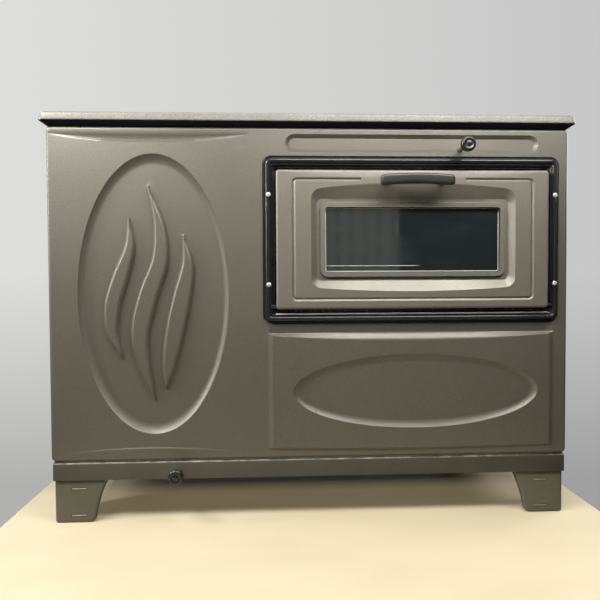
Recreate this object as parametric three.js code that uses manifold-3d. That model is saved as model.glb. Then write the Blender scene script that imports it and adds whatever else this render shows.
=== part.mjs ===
// A wood-burning cookstove with an oven: pressed-steel body on four cast legs, ground cast-iron cooktop,
// bottom-hinged oven door with a window, loading door and ash drawer in the left end, flue collar behind.
// Millimetres. The origin is on the floor under the middle of the whole stove; +X to the right of someone who
// faces the oven door, +Y to the back, +Z up.
import * as THREE from "three";
import { mergeVertices } from "three/addons/utils/BufferGeometryUtils.js";
import Module from "manifold-3d";

const wasm = await Module();
wasm.setup();

// ---------------------------------------------------------------- driving dimensions
// Inside this file x = 0 is the middle of the body, y = 0 the front panel's face and z = 0 the floor.
const bodyWidth = 880;
const bodyDepth = 460;
const panelHeight = 558;
const legHeight = 72.5;
const railHeight = 29.9;
const railGap = 2.6; // shadow line between the base rails and the panels
const collarHeight = 7;
const sheet = 2; // pressed steel of the body
const fit = 0.3; // clearance between pieces that touch
const running = 0.5; // clearance beside pieces that slide

const flangeDepth = 14; // how far the panels' edges fold back
const panelCorner = 8;
const panelEdge = 5; // radius of the front panel's folded edge

const plateThickness = 16; // rim of the cooktop
const plateSkin = 7; // cooktop inside its rim
const plateOverhang = { side: 9.5, front: 12, rear: 5 };
const plateBevel = 10;
const plateLip = 3;
const plateCorner = 10;
const rimWidth = 22;
const lap = { width: 6, height: 3.5 }; // step on which rings and lids rest
const ringRadius = 150;
const lidRadius = 100;
const smallLidRadius = 80;
const smallLidGap = 95.5; // between the ring and the small lid
const lidLift = { width: 12, length: 26, depth: 4.5 }; // pocket for the lid lifter

const doorWidth = 462.5;
const doorHeight = 232.5;
const doorCentre = { inset: 270.5, drop: 188.5 }; // from the panel's right and top edges
const doorStandout = 13; // door face in front of the panel face
const doorCorner = 5;
const doorEdge = 4;
const windowRecess = 9;
const windowSize = { width: 298.5, height: 109, corner: 5 };
const windowTrim = { border: 9, height: 4 };
const windowFloorMargin = { x: 5, z: 5 }; // floor of the recess round the trim
// How far the recess slopes out from its floor to its mouth, at the ends and the middle of each edge.
const windowSlope = { side: 9.8, lowCorner: 11.3, lowMiddle: 18.3, highCorner: 15, highMiddle: 25.8 };
const windowCorners = { floor: 8, mouth: 16 };
const doorGroove = { width: 4.5, depth: 1.3, insetX: 29, insetZ: 16.5, corner: 6, breakWidth: 178 };
const glassThickness = 3;
const linerThickness = 1.5;
const sealWidth = 8;
const sealInset = 10;

const frameGap = { x: 5.8, z: 8 }; // between the door and its frame
const frameCorner = 13;
const frameBand = 14.5;
const frameRise = 7; // bead in front of the panel face
const frameStep = { depth: 3, margin: 2.5 }; // panel pressed back round the frame
const frameScrew = { inset: 7.7, z: 75, head: 4, shank: 2, rise: 2.4 };

const cavity = { marginX: 2.25, marginZ: 1, depth: 385 }; // margins from the seal's inner edge
const ovenFlange = 12; // past the hole in the front panel
const runner = { height: 34, width: 12, thickness: 3, length: 340 };
const rack = { rod: 3, wire: 2, wires: 9 };
const tray = { height: 26, sheet: 2, slope: 8, rim: 6, margin: 6 };

const handle = { length: 121.5, height: 17, arch: 3, thickness: 14, reach: 45, drop: 22, tilt: 9 };
const handlePost = { spacing: 91.5, radius: 5 };
const hingePin = { radius: 3, engage: 3.5, y: -3, above: 4.5 };

const knob = { radius: 12.5, length: 24, neck: 7, face: 9, rim: 2 };
const rodRadius = 4;
const damperPull = { inset: 188, drop: 35.5, reach: 45, plateWidth: 104, plateHeight: 62 };
const airPull = { inset: 212.5, reach: 40, travel: 60, plateWidth: 84, plateLength: 106 };
const airHole = { width: 60, length: 86, y: 190 };

// The front panel's relief. Insets are taken from its nearer side edge, drops from its top edge.
const longRecess = { leftInset: 394.5, rightInset: 53, drop: 11, height: 30.3, depth: 5, slope: 6 };
const tallOval = { inset: 173.5, radius: 125.2, endMargin: 44.8, bandX: 10, bandZ: 17, depth: 8 };
const field = { leftInset: 363.2, rightInset: 23.8, foot: 15.6, drop: 18.3, sag: 9, arch: 4, rise: 3 };
const fieldSlope = 4;
const wideOval = { marginX: 36.2, marginZ: 35.4, shiftX: 6.7, shiftZ: -1.9, bandX: 10, bandZ: 11, depth: 8 };
const upperScoop = { inset: 3, length: 328, drop: 11.6, sag: -12, depth: 4 };
const lowerScoop = { inset: 6, length: 317, foot: 9.4, sag: 11, depth: 4 };
const flameHeight = 5;
const flameSlope = 4.5;
// Spines run from tip to foot, from the middle of the tall oval.
const flames = [
  { width: 29.5, spine: [[-41, 127], [-40, 78], [-54, 34], [-69, -16], [-70, -63], [-55, -104]] },
  { width: 35, spine: [[-9, 180], [9, 117], [10, 57], [-10, -2], [-24, -63], [-18, -118], [-1, -176]] },
  { width: 34.5, spine: [[49, 98], [56, 50], [48, 3], [35, -56], [24, -113], [18, -156]] },
];

const rail = { inset: 2.5, flange: 22, corner: 7 };
const leg = { width: 88, foot: 67, wall: 11, inset: 3.5, corner: 5, toe: 8 };
const legSlot = { width: 26, height: 4, depth: 2, middle: 40.5, levels: [0.17, 0.8] }; // as shares of the leg

const fireRoom = { inset: 29, ovenGap: 57, y0: 105, y1: 355 }; // gap to the oven's wall
const liner = { thickness: 12, clear: 36.5, innerClear: 66.5 }; // clear of the cooktop
const shelf = { above: 45.7, thickness: 3, overhang: 40 }; // above the ash drawer, past the firebox
const ashWall = 2;
const grate = { length: 200, width: 190, thickness: 12, slots: 7, slotWidth: 11 };
const loading = { width: 220, height: 200, above: 32, border: 22, overlap: 12 };
const loadingThickness = { frame: 8, door: 10 };
const baffle = { thickness: 3, gap: 12, inset: 10 };
const loadingPin = { radius: 3.5, eye: 7.5, clear: 1.5, lugHeight: 26 };
const latch = { shaft: 5, lever: 78, leverWidth: 13, grip: 9, reach: 45, tongue: 30, inset: 16 };
const spinner = { radius: 42, thickness: 4, holeRadius: 8, holeCircle: 26, wing: 15, above: 60 };
const drawer = { width: 224, height: 84, length: 300, sheet: 2, lift: 0.6 };
const drawerFront = { margin: 10, thickness: 4 };
const drawerPull = { width: 84, reach: 30, thickness: 8, post: 4 };

const flue = { radius: 65, wall: 3, flange: 17, flangeThickness: 4, reach: 45, drop: 97 };
const flueBox = { width: 158, depth: 54, drop: 84, slotWidth: 88, slotHeight: 46 };

// ---------------------------------------------------------------- levels that follow from them
const half = bodyWidth / 2;
const railTop = legHeight + railHeight;
const panelBottom = railTop + railGap;
const panelTop = panelBottom + panelHeight;
const plateBottom = panelTop + collarHeight;
const plateTop = plateBottom + plateThickness;
const plateUnderside = plateTop - plateSkin;
const railMiddle = legHeight + railHeight / 2;
const floorTop = panelBottom - fit; // top of the bottom plate

const door = { x: half - doorCentre.inset, z: panelTop - doorCentre.drop, front: -doorStandout };
door.z0 = door.z - doorHeight / 2;
door.z1 = door.z + doorHeight / 2;
const windowFloor = door.front + windowRecess;
const glassFront = windowFloor + sheet + fit;
const linerFront = glassFront + glassThickness + fit;
const doorBack = linerFront + linerThickness;
const doorDepth = doorBack - door.front;
const ovenFront = frameStep.depth + sheet + fit;
const frameBack = frameStep.depth - fit;
const frameInnerWidth = doorWidth + 2 * frameGap.x;
const frameInnerHeight = doorHeight + 2 * frameGap.z;
const frameWidth = frameInnerWidth + 2 * frameBand;
const frameHeight = frameInnerHeight + 2 * frameBand;
const ovenHole = { width: frameInnerWidth + 4, height: frameInnerHeight + 4, corner: 6 };
const sealEdge = sealInset + sealWidth;
const cavityBox = {
  x0: door.x - doorWidth / 2 + sealEdge + cavity.marginX,
  x1: door.x + doorWidth / 2 - sealEdge - cavity.marginX,
  z0: door.z0 + sealEdge + cavity.marginZ,
  z1: door.z1 - sealEdge - cavity.marginZ,
  back: ovenFront + cavity.depth,
};
const firebox = {
  x0: -half + fireRoom.inset,
  x1: cavityBox.x0 - sheet - fireRoom.ovenGap,
  y0: fireRoom.y0,
  y1: fireRoom.y1,
};
const fireCentre = { x: (firebox.x0 + firebox.x1) / 2, y: (firebox.y0 + firebox.y1) / 2 };
const smallLidX = fireCentre.x + ringRadius + smallLidGap + smallLidRadius;
const damper = { x: half - damperPull.inset, z: panelTop - damperPull.drop };
const airX = -half + airPull.inset;
const flueZ = panelTop - flue.drop;
const drawerY = { y0: fireCentre.y - drawer.width / 2, y1: fireCentre.y + drawer.width / 2 };
const drawerZ = { z0: floorTop + drawer.lift, z1: floorTop + drawer.lift + drawer.height };
const shelfZ = drawerZ.z1 + shelf.above;
const shelfTop = shelfZ + shelf.thickness;
const loadingY = { y0: fireCentre.y - loading.width / 2, y1: fireCentre.y + loading.width / 2 };
const loadingZ = { z0: shelfTop + loading.above, z1: shelfTop + loading.above + loading.height };
const loadingMiddle = (loadingZ.z0 + loadingZ.z1) / 2;

// The knobs reach as far forward as the flue collar reaches back; the latch lever reaches past the left end.
const frontReach = -damperPull.reach;
const rearReach = bodyDepth + flue.reach;
const leftReach = -(half + latch.reach);
const rightReach = half + plateOverhang.side;

const times = (count, make) => Array.from({ length: count }, (_, i) => make(i));
const ends = [-1, 1];

// ---------------------------------------------------------------- solids
const clean = (geometry) => {
  const bare = geometry.clone();
  bare.deleteAttribute("normal");
  bare.deleteAttribute("uv");
  return mergeVertices(bare, 1e-4);
};

/** Turns a closed geometry into a solid, with its faces turned outwards and its needle faces left out. */
function toSolid(geometry) {
  const merged = clean(geometry);
  const points = merged.attributes.position.array;
  const faces = [];
  let volume = 0;
  for (let i = 0; i < merged.index.count; i += 3) {
    const [a, b, c] = merged.index.array.slice(i, i + 3);
    if (a === b || b === c || c === a) continue;
    faces.push(a, b, c);
    const [pa, pb, pc] = [a, b, c].map((k) => new THREE.Vector3().fromArray(points, 3 * k));
    volume += pa.dot(pb.cross(pc));
  }
  if (volume < 0) faces.reverse();
  return new wasm.Manifold(
    new wasm.Mesh({ numProp: 3, vertProperties: new Float32Array(points), triVerts: new Uint32Array(faces) }),
  );
}

const facing = (u, v, at) => [u, at, v]; // outline seen from the front, stacked backwards
const lying = (u, v, at) => [u, v, at]; // outline seen from above, stacked upwards
const endways = (u, v, at) => [at, u, v]; // outline across the depth, stacked to the right

/** Skins outlines of equal point counts, one behind the other, into one closed solid. */
function loft(stack, place) {
  const flat = (outline) => outline.map(([u, v]) => new THREE.Vector2(u, v));
  const clockwise = THREE.ShapeUtils.isClockWise(flat(stack[0].outline));
  const turnRight = (outline) => (clockwise ? outline.toReversed() : outline);
  const sections = stack.map(({ outline, at }) => ({ outline: turnRight(outline), at }));
  const count = sections[0].outline.length;
  const points = sections.flatMap(({ outline, at }) => outline.flatMap(([u, v]) => place(u, v, at)));
  const faces = [];
  for (let s = 0; s + 1 < sections.length; s++) {
    for (let i = 0; i < count; i++) {
      const a = s * count + i;
      const b = s * count + ((i + 1) % count);
      faces.push(a, b, a + count, b, b + count, a + count);
    }
  }
  const cap = (section) => THREE.ShapeUtils.triangulateShape(flat(section.outline), []);
  const last = count * (sections.length - 1);
  for (const [a, b, c] of cap(sections[0])) faces.push(a, c, b);
  for (const [a, b, c] of cap(sections.at(-1))) faces.push(last + a, last + b, last + c);
  const geometry = new THREE.BufferGeometry();
  geometry.setAttribute("position", new THREE.Float32BufferAttribute(points, 3));
  geometry.setIndex(faces);
  return toSolid(geometry);
}

const prism = (outline, from, to, place) => loft([{ outline, at: from }, { outline, at: to }], place);

/** A plain block between two corners. */
function block([x0, y0, z0], [x1, y1, z1]) {
  const geometry = new THREE.BoxGeometry(x1 - x0, y1 - y0, z1 - z0);
  return toSolid(geometry.translate((x0 + x1) / 2, (y0 + y1) / 2, (z0 + z1) / 2));
}

/** Turns [radius, height] points round an axis through centre; axis is "x", "y" or "z". */
function turned(profile, axis, [x, y, z], steps = 24) {
  const points = profile.map(([radius, height]) => new THREE.Vector2(radius, height));
  const geometry = new THREE.LatheGeometry(points, steps);
  if (axis === "z") geometry.rotateX(Math.PI / 2);
  if (axis === "x") geometry.rotateZ(-Math.PI / 2);
  return toSolid(geometry.translate(x, y, z));
}

const disc = (radius, from, to) => [[0, from], [radius, from], [radius, to], [0, to]];
const round = (radius, from, to, axis, centre, steps) => turned(disc(radius, from, to), axis, centre, steps);

// ---------------------------------------------------------------- outlines, each a list of [u, v]
function ellipse(cu, cv, ru, rv, steps = 44) {
  return times(steps, (i) => {
    const angle = (2 * Math.PI * i) / steps;
    return [cu + ru * Math.cos(angle), cv + rv * Math.sin(angle)];
  });
}

/** A box with round corners and, if asked, long edges that bow outwards. */
function roundedBox(u0, u1, v0, v1, radius, { low = 0, high = 0, steps = 3, along = 0 } = {}) {
  const [left, right] = [u0 + radius, u1 - radius];
  const arc = (u, v, start) => times(steps + 1, (i) => {
    const angle = THREE.MathUtils.degToRad(start + (90 * i) / steps);
    return [u + radius * Math.cos(angle), v + radius * Math.sin(angle)];
  });
  const edge = (from, to, v) => times(along, (i) => [from + ((i + 1) / (along + 1)) * (to - from), v]);
  const points = [
    ...arc(right, v0 + radius, -90),
    ...arc(right, v1 - radius, 0),
    ...edge(right, left, v1),
    ...arc(left, v1 - radius, 90),
    ...arc(left, v0 + radius, 180),
    ...edge(left, right, v0),
  ];
  const middle = (u0 + u1) / 2;
  const bow = (u) => 1 - ((u - middle) / ((u1 - u0) / 2)) ** 2;
  const centre = (v0 + v1) / 2;
  return points.map(([u, v]) => [u, v > centre ? v + high * bow(u) : v - low * bow(u)]);
}

const centredBox = (u, v, width, height, radius, options) =>
  roundedBox(u - width / 2, u + width / 2, v - height / 2, v + height / 2, radius, options);

/** A line and the arc that leaves it by sag in the middle; pull draws the line close to the arc. */
function crescent({ x0, x1, z, sag }, pull = 0, steps = 14) {
  const arcAt = (share) => z + sag * (1 - (2 * share - 1) ** 2);
  const along = (share) => x0 + share * (x1 - x0);
  const line = times(steps + 1, (i) => [along(i / steps), z + pull * (arcAt(i / steps) - z) * 0.96]);
  const arc = times(steps - 1, (i) => [along(1 - (i + 1) / steps), arcAt(1 - (i + 1) / steps)]);
  return [...line, ...arc];
}

/** A tongue of fire round its spine; inset draws both sides towards the spine. */
function flame({ width, spine }, inset = 0, steps = 16) {
  const curve = new THREE.SplineCurve(spine.map(([x, z]) => new THREE.Vector2(tall.x + x, tall.z + z)));
  const widest = width / 2 - inset;
  const side = (sign) => times(steps - 1, (i) => {
    const share = (i + 1) / steps;
    const point = curve.getPoint(share);
    const along = curve.getTangent(share);
    const reach = sign * widest * Math.sin(Math.PI * share ** 1.1);
    return [point.x - reach * along.y, point.y + reach * along.x];
  });
  const tip = (share) => curve.getPoint(share).toArray();
  const end = inset / (6 * width);
  return [tip(end), ...side(1), tip(1 - end), ...side(-1).reverse()];
}

// ---------------------------------------------------------------- pressed sheet
/** The outside of a tray: an outline whose edge rounds off at the front; inset shrinks it. */
function trayForm({ outline, front, depth, edge }, inset, edgeSteps = 2) {
  const sections = times(edgeSteps + 1, (i) => {
    const angle = (Math.PI / 2) * (i / edgeSteps);
    const back = front + inset + edge * (1 - Math.cos(angle));
    return { outline: outline(inset + edge * (1 - Math.sin(angle))), at: back };
  });
  return loft([...sections, { outline: outline(inset), at: front + depth + inset }], facing);
}

/** Sheet metal: a form less the same form moved back by one thickness. */
const pressed = (form, thickness = sheet) => form(0).subtract(form(thickness));

/** A cut from the face down to a floor outline. */
function hollow(mouth, floor, face, depth) {
  const clear = face - depth - 2;
  const bottom = { outline: floor, at: face + depth };
  return loft([{ outline: mouth, at: clear }, { outline: mouth, at: face }, bottom], facing);
}

/** A hill from a base outline up to its top outline. */
function hill(base, top, ground, height) {
  const root = { outline: base, at: ground + 0.5 };
  return loft([{ outline: top, at: ground - height }, { outline: base, at: ground }, root], facing);
}

const tall = {
  x: -half + tallOval.inset,
  z: panelBottom + panelHeight / 2,
  rx: tallOval.radius,
  rz: panelHeight / 2 - tallOval.endMargin,
};
const fieldBox = {
  x0: -half + field.leftInset,
  x1: half - field.rightInset,
  z0: panelBottom + field.foot,
  z1: door.z - frameHeight / 2 - field.drop,
};
const wide = {
  x: (fieldBox.x0 + fieldBox.x1) / 2 + wideOval.shiftX,
  z: (fieldBox.z0 + fieldBox.z1) / 2 + wideOval.shiftZ,
  rx: (fieldBox.x1 - fieldBox.x0) / 2 - wideOval.marginX,
  rz: (fieldBox.z1 - fieldBox.z0) / 2 - wideOval.marginZ,
};

function ovalHollow({ x, z, rx, rz }, { bandX, bandZ, depth }, face) {
  return hollow(ellipse(x, z, rx, rz), ellipse(x, z, rx - bandX, rz - bandZ), face, depth);
}

/** A scoop that deepens from its line to its arc; grow moves the arc out to leave a wall beside it. */
function scoop({ inset, length, sag, depth }, z, face, grow = 0) {
  const shape = { x0: -half + inset, x1: -half + inset + length, z, sag: sag + Math.sign(sag) * grow };
  return hollow(crescent(shape), crescent(shape, 1), face, depth);
}

function fieldHill(face) {
  const { x0, x1, z0, z1 } = fieldBox;
  const { sag, rise, arch } = field;
  const box = (inset, high) => roundedBox(x0 + inset, x1 - inset, z0 + inset, z1 - inset, 4,
    { along: 9, steps: 1, low: -arch, high });
  return hill(box(0, 0), box(fieldSlope, -sag), face, rise);
}

function longRecessHollow(face) {
  const { leftInset, rightInset, drop, height, depth, slope } = longRecess;
  const x = [-half + leftInset, half - rightInset];
  const top = panelTop - drop;
  const box = (inset) => roundedBox(x[0] + inset, x[1] - inset, top - height + inset, top - inset,
    height / 2 - inset - 0.1, { steps: 6 });
  return hollow(box(0), box(slope), face, depth);
}

/** Front panel: the relief, the step for the oven frame, the oven hole, and holes for rod and screws. */
function frontPanel() {
  const outline = (inset) => roundedBox(-half + inset, half - inset, panelBottom + inset, panelTop - inset,
    Math.max(panelCorner - inset, 1));
  const form = (shift) => {
    let solid = trayForm({ outline, front: 0, depth: flangeDepth, edge: panelEdge }, shift);
    solid = solid.add(fieldHill(shift))
      .subtract(ovalHollow(tall, tallOval, shift))
      .subtract(ovalHollow(wide, wideOval, shift - field.rise))
      .subtract(longRecessHollow(shift))
      .subtract(scoop(upperScoop, panelTop - upperScoop.drop, shift, shift))
      .subtract(scoop(lowerScoop, panelBottom + lowerScoop.foot, shift, shift));
    for (const shape of flames) {
      solid = solid.add(hill(flame(shape), flame(shape, flameSlope), shift + tallOval.depth, flameHeight));
    }
    const margin = frameStep.margin + shift;
    const step = centredBox(door.x, door.z, frameWidth + 2 * margin, frameHeight + 2 * margin,
      frameCorner + margin);
    return solid.subtract(prism(step, shift - 2, shift + frameStep.depth, facing));
  };
  const hole = centredBox(door.x, door.z, ovenHole.width, ovenHole.height, ovenHole.corner);
  const through = [-1, flangeDepth];
  const rodHole = round(rodRadius + fit, -10, flangeDepth, "y", [damper.x, 0, damper.z], 12);
  let panel = pressed(form).subtract(prism(hole, ...through, facing)).subtract(rodHole);
  for (const [x, z] of screwPlaces()) {
    panel = panel.subtract(round(frameScrew.shank + fit, -1, flangeDepth, "y", [x, 0, z], 8));
  }
  return panel;
}

/** A plain folded panel in the plane facing the front, before it is turned to its side of the body. */
function foldedTray(width, { edge = 3, corner = 2 } = {}) {
  const outline = (inset) => roundedBox(-width / 2 + inset, width / 2 - inset, panelBottom + inset,
    panelTop - inset, Math.max(corner - inset, 0.5), { steps: 1 });
  return pressed((shift) => trayForm({ outline, front: 0, depth: flangeDepth, edge }, shift));
}

const sideDepth = bodyDepth - 2 * (flangeDepth + fit);

function sidePanel(side) {
  const tray = foldedTray(sideDepth).rotate([0, 0, side < 0 ? -90 : 90]);
  const panel = tray.translate([side * half, bodyDepth / 2, 0]);
  if (side > 0) return panel;
  const fire = roundedBox(loadingY.y0, loadingY.y1, loadingZ.z0, loadingZ.z1, 8);
  const ash = roundedBox(drawerY.y0 - running, drawerY.y1 + running, drawerZ.z0 - running,
    drawerZ.z1 + running, 1);
  const cut = (outline) => prism(outline, -half - 1, -half + flangeDepth + 1, endways);
  return panel.subtract(cut(fire)).subtract(cut(ash));
}

function backPanel() {
  const tray = foldedTray(bodyWidth, { edge: panelEdge, corner: panelCorner }).rotate([0, 0, 180]);
  const hole = round(flue.radius - flue.wall, -2 * flangeDepth, 2, "y", [damper.x, bodyDepth, flueZ], 32);
  return tray.translate([0, bodyDepth, 0]).subtract(hole);
}

function bottomPlate() {
  const inset = 2 * sheet;
  const plate = block([-half + inset, inset, railTop + fit], [half - inset, bodyDepth - inset, floorTop]);
  const { width, length, y } = airHole;
  const x = airX;
  return plate.subtract(block([x - width / 2, y - length / 2, 0], [x + width / 2, y + length / 2, panelTop]));
}

// ---------------------------------------------------------------- base
/** A base rail: an upright web with a flange folded inwards along its top. */
function railBar(webLength, flangeLength) {
  const outline = roundedBox(-webLength / 2, webLength / 2, legHeight, railTop, rail.corner);
  const flange = block([-flangeLength / 2, 0, railTop - sheet], [flangeLength / 2, rail.flange, railTop]);
  return prism(outline, 0, sheet, facing).add(flange);
}

const longLength = bodyWidth - 2 * rail.inset;
const longRail = () => railBar(longLength, longLength - 2 * rail.corner);

function frontRail() {
  const hole = round(rodRadius + fit, -1, 2 * sheet, "y", [airX, 0, railMiddle], 12);
  return longRail().subtract(hole);
}

const rearRail = () => longRail().rotate([0, 0, 180]).translate([0, bodyDepth, 0]);

/** A side rail: its web reaches to the long rails' webs, and its flange only to their flanges. */
function sideRail(side) {
  const web = bodyDepth - 2 * (sheet + fit);
  const flange = bodyDepth - 2 * (rail.flange + fit);
  const bar = railBar(web, flange).rotate([0, 0, side < 0 ? -90 : 90]);
  return bar.translate([side * (half - rail.inset), bodyDepth / 2, 0]);
}

/** One face of a corner leg: straight outer edge, inner edge curving in to the foot. u = 0 at the corner. */
function legFace() {
  const { width, foot, corner, toe } = leg;
  const top = legHeight - fit;
  const inner = new THREE.QuadraticBezierCurve(
    new THREE.Vector2(foot, toe), new THREE.Vector2(foot + 6, 0.6 * top), new THREE.Vector2(width, top));
  const curve = inner.getPoints(7).map((p) => [p.x, p.y]);
  return [[corner, 0], [foot - toe, 0], [foot - 0.3 * toe, 0.3 * toe], ...curve, [0, top], [0, corner]];
}

/** A corner leg standing at the origin with its walls along +X and +Y. */
function cornerLeg() {
  const { width, height, depth, middle, levels } = legSlot;
  let solid = prism(legFace(), 0, leg.wall, facing).add(prism(legFace(), 0, leg.wall, endways));
  for (const level of levels) {
    const span = [middle - width / 2, middle + width / 2];
    const z = [level * legHeight - height / 2, level * legHeight + height / 2];
    solid = solid.subtract(block([span[0], -1, z[0]], [span[1], depth, z[1]]))
      .subtract(block([-1, span[0], z[0]], [depth, span[1], z[1]]));
  }
  return solid;
}

function legAt(index) {
  const { inset } = leg;
  const x = half - inset;
  const corners = [[-x, inset], [x, inset], [x, bodyDepth - inset], [-x, bodyDepth - inset]];
  return cornerLeg().rotate([0, 0, 90 * index]).translate([...corners[index], 0]);
}

// ---------------------------------------------------------------- cooktop
/** The dark bevelled collar under the cooktop, whose sides lean in towards the body. */
function collarRing() {
  const lean = plateOverhang.side - 1;
  const box = (out) => roundedBox(-half + 2 - out, half - 2 + out, 2 - 1.4 * out,
    bodyDepth - 2 + 0.6 * out, 3, { steps: 1 });
  const outside = loft([
    { outline: box(0), at: panelTop + fit },
    { outline: box(lean), at: plateBottom - fit },
  ], lying);
  const inside = block([-half + rimWidth, rimWidth, 0], [half - rimWidth, bodyDepth - rimWidth, plateTop]);
  return outside.subtract(inside);
}

function collarStrip(side) {
  const far = 2 * half;
  const seam = rimWidth - fit / 2;
  const cuts = {
    front: [[-far, -far, 0], [far, seam, plateTop]],
    rear: [[-far, bodyDepth - seam, 0], [far, far, plateTop]],
    left: [[-far, seam + fit, 0], [0, bodyDepth - seam - fit, plateTop]],
    right: [[0, seam + fit, 0], [far, bodyDepth - seam - fit, plateTop]],
  };
  return collarRing().intersect(block(...cuts[side]));
}

function lapHole(radius, x, y) {
  const step = plateTop - lap.height;
  const inner = radius - lap.width;
  const above = plateTop + 1;
  return turned([[0, plateBottom], [inner, plateBottom], [inner, step], [radius, step], [radius, above],
    [0, above]], "z", [x, y, 0], 40);
}

function cooktopPlate() {
  const { side, front, rear } = plateOverhang;
  const outline = (inset) => roundedBox(-half - side + inset, half + side - inset, -front + inset,
    bodyDepth + rear - inset, plateCorner);
  const plate = loft([
    { outline: outline(1), at: plateBottom },
    { outline: outline(0), at: plateBottom + 1 },
    { outline: outline(0), at: plateBottom + plateLip },
    { outline: outline(plateBevel - 2), at: plateTop - 1.5 },
    { outline: outline(plateBevel), at: plateTop },
  ], lying);
  const pocket = block([-half + rimWidth, rimWidth, plateBottom - 1],
    [half - rimWidth, bodyDepth - rimWidth, plateUnderside]);
  return plate.subtract(pocket)
    .subtract(lapHole(ringRadius, fireCentre.x, fireCentre.y))
    .subtract(lapHole(smallLidRadius, smallLidX, fireCentre.y));
}

/** The stepped disc that drops into a lap hole of the given radius. */
const lapDisc = (radius, x, y) => turned([[0, plateUnderside], [radius - lap.width - fit, plateUnderside],
  [radius - lap.width - fit, plateTop - lap.height + fit], [radius - fit, plateTop - lap.height + fit],
  [radius - fit, plateTop], [0, plateTop]], "z", [x, y, 0], 40);

function lid(radius, x, y) {
  const { width, length, depth } = lidLift;
  const edge = radius - lap.width - 8;
  const pocket = block([x + edge - length, y - width / 2, plateTop - depth],
    [x + edge, y + width / 2, plateTop + 1]);
  return lapDisc(radius, x, y).subtract(pocket);
}

const cooktopRing = () => lapDisc(ringRadius, fireCentre.x, fireCentre.y)
  .subtract(lapHole(lidRadius, fireCentre.x, fireCentre.y));

// ---------------------------------------------------------------- oven door and its frame
/** The glossy moulding round the door: a bead with a rounded front, screwed to the panel. */
function ovenFrame() {
  const ring = (inset) => centredBox(door.x, door.z, frameWidth - 2 * inset, frameHeight - 2 * inset,
    Math.max(frameCorner - inset, 3));
  const outside = loft([
    { outline: ring(5), at: -frameRise },
    { outline: ring(2), at: -frameRise + 1.2 },
    { outline: ring(0), at: -frameRise + 4 },
    { outline: ring(0), at: frameBack },
  ], facing);
  const inside = loft([
    { outline: ring(frameBand - 5), at: -frameRise - 1 },
    { outline: ring(frameBand - 4), at: -frameRise },
    { outline: ring(frameBand - 1), at: -frameRise + 1.6 },
    { outline: ring(frameBand), at: -frameRise + 4 },
    { outline: ring(frameBand), at: frameBack + 1 },
  ], facing);
  let frame = outside.subtract(inside);
  for (const [x, z] of screwPlaces()) {
    frame = frame.subtract(round(frameScrew.shank + fit, -2 * frameRise, flangeDepth, "y", [x, 0, z], 8));
  }
  for (const side of ends) {
    frame = frame.subtract(hingeBore(side));
  }
  return frame;
}

const screwPlaces = () => ends.flatMap((sx) => ends.map((sz) =>
  [door.x + sx * (frameWidth / 2 - frameScrew.inset), door.z + sz * frameScrew.z]));

/** A pan-head screw with a cross recess, its shank reaching through frame and panel. */
function panHeadScrew([x, z]) {
  const { head, shank, rise } = frameScrew;
  const seat = -frameRise - fit;
  const end = frameStep.depth + sheet;
  const screw = turned([[0, seat - rise], [0.55 * head, seat - rise], [0.88 * head, seat - 0.6 * rise],
    [head, seat], [shank, seat], [shank, end], [0, end]], "y", [x, 0, z], 12);
  const arm = 0.6 * head;
  const slot = 0.16 * head;
  const top = seat - rise;
  return screw
    .subtract(block([x - arm, top - 1, z - slot], [x + arm, top + 0.4 * rise, z + slot]))
    .subtract(block([x - slot, top - 1, z - arm], [x + slot, top + 0.4 * rise, z + arm]));
}

const pinZ = door.z0 + hingePin.above;
const pinOut = frameGap.x / 2 + hingePin.engage;
const pinX = (side) => door.x + (side * (doorWidth + frameGap.x)) / 2;

const hingePinAt = (side) => round(hingePin.radius, -pinOut, pinOut, "x", [pinX(side), hingePin.y, pinZ], 10);

/** The bore for a hinge pin, through the gap between door and frame and into both. */
const hingeBore = (side) => round(hingePin.radius + fit / 2, -pinOut - 1, pinOut + 1, "x",
  [pinX(side), hingePin.y, pinZ], 10);

/** The straight foot of the window recess, or its arched mouth. */
function windowOutline({ side, lowCorner, lowMiddle, highCorner, highMiddle }, corner) {
  const width = windowSize.width / 2 + windowTrim.border + windowFloorMargin.x + side;
  const height = windowSize.height / 2 + windowTrim.border + windowFloorMargin.z;
  return roundedBox(door.x - width, door.x + width, door.z - height - lowCorner,
    door.z + height + highCorner, corner,
    { low: lowMiddle - lowCorner, high: highMiddle - highCorner, along: 9 });
}

function doorGrooveCut() {
  const { width, depth, insetX, insetZ, corner, breakWidth } = doorGroove;
  const ring = (inset) => centredBox(door.x, door.z, doorWidth - 2 * (insetX + inset),
    doorHeight - 2 * (insetZ + inset), corner - inset / 2);
  const outer = hollow(ring(0), ring(width / 2), door.front, depth);
  const island = hill(ring(width / 2), ring(width), door.front + depth, depth + 1);
  const stop = block([door.x - breakWidth / 2, door.front - 2, door.z],
    [door.x + breakWidth / 2, 0, door.z1]);
  return outer.subtract(island).subtract(stop);
}

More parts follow.
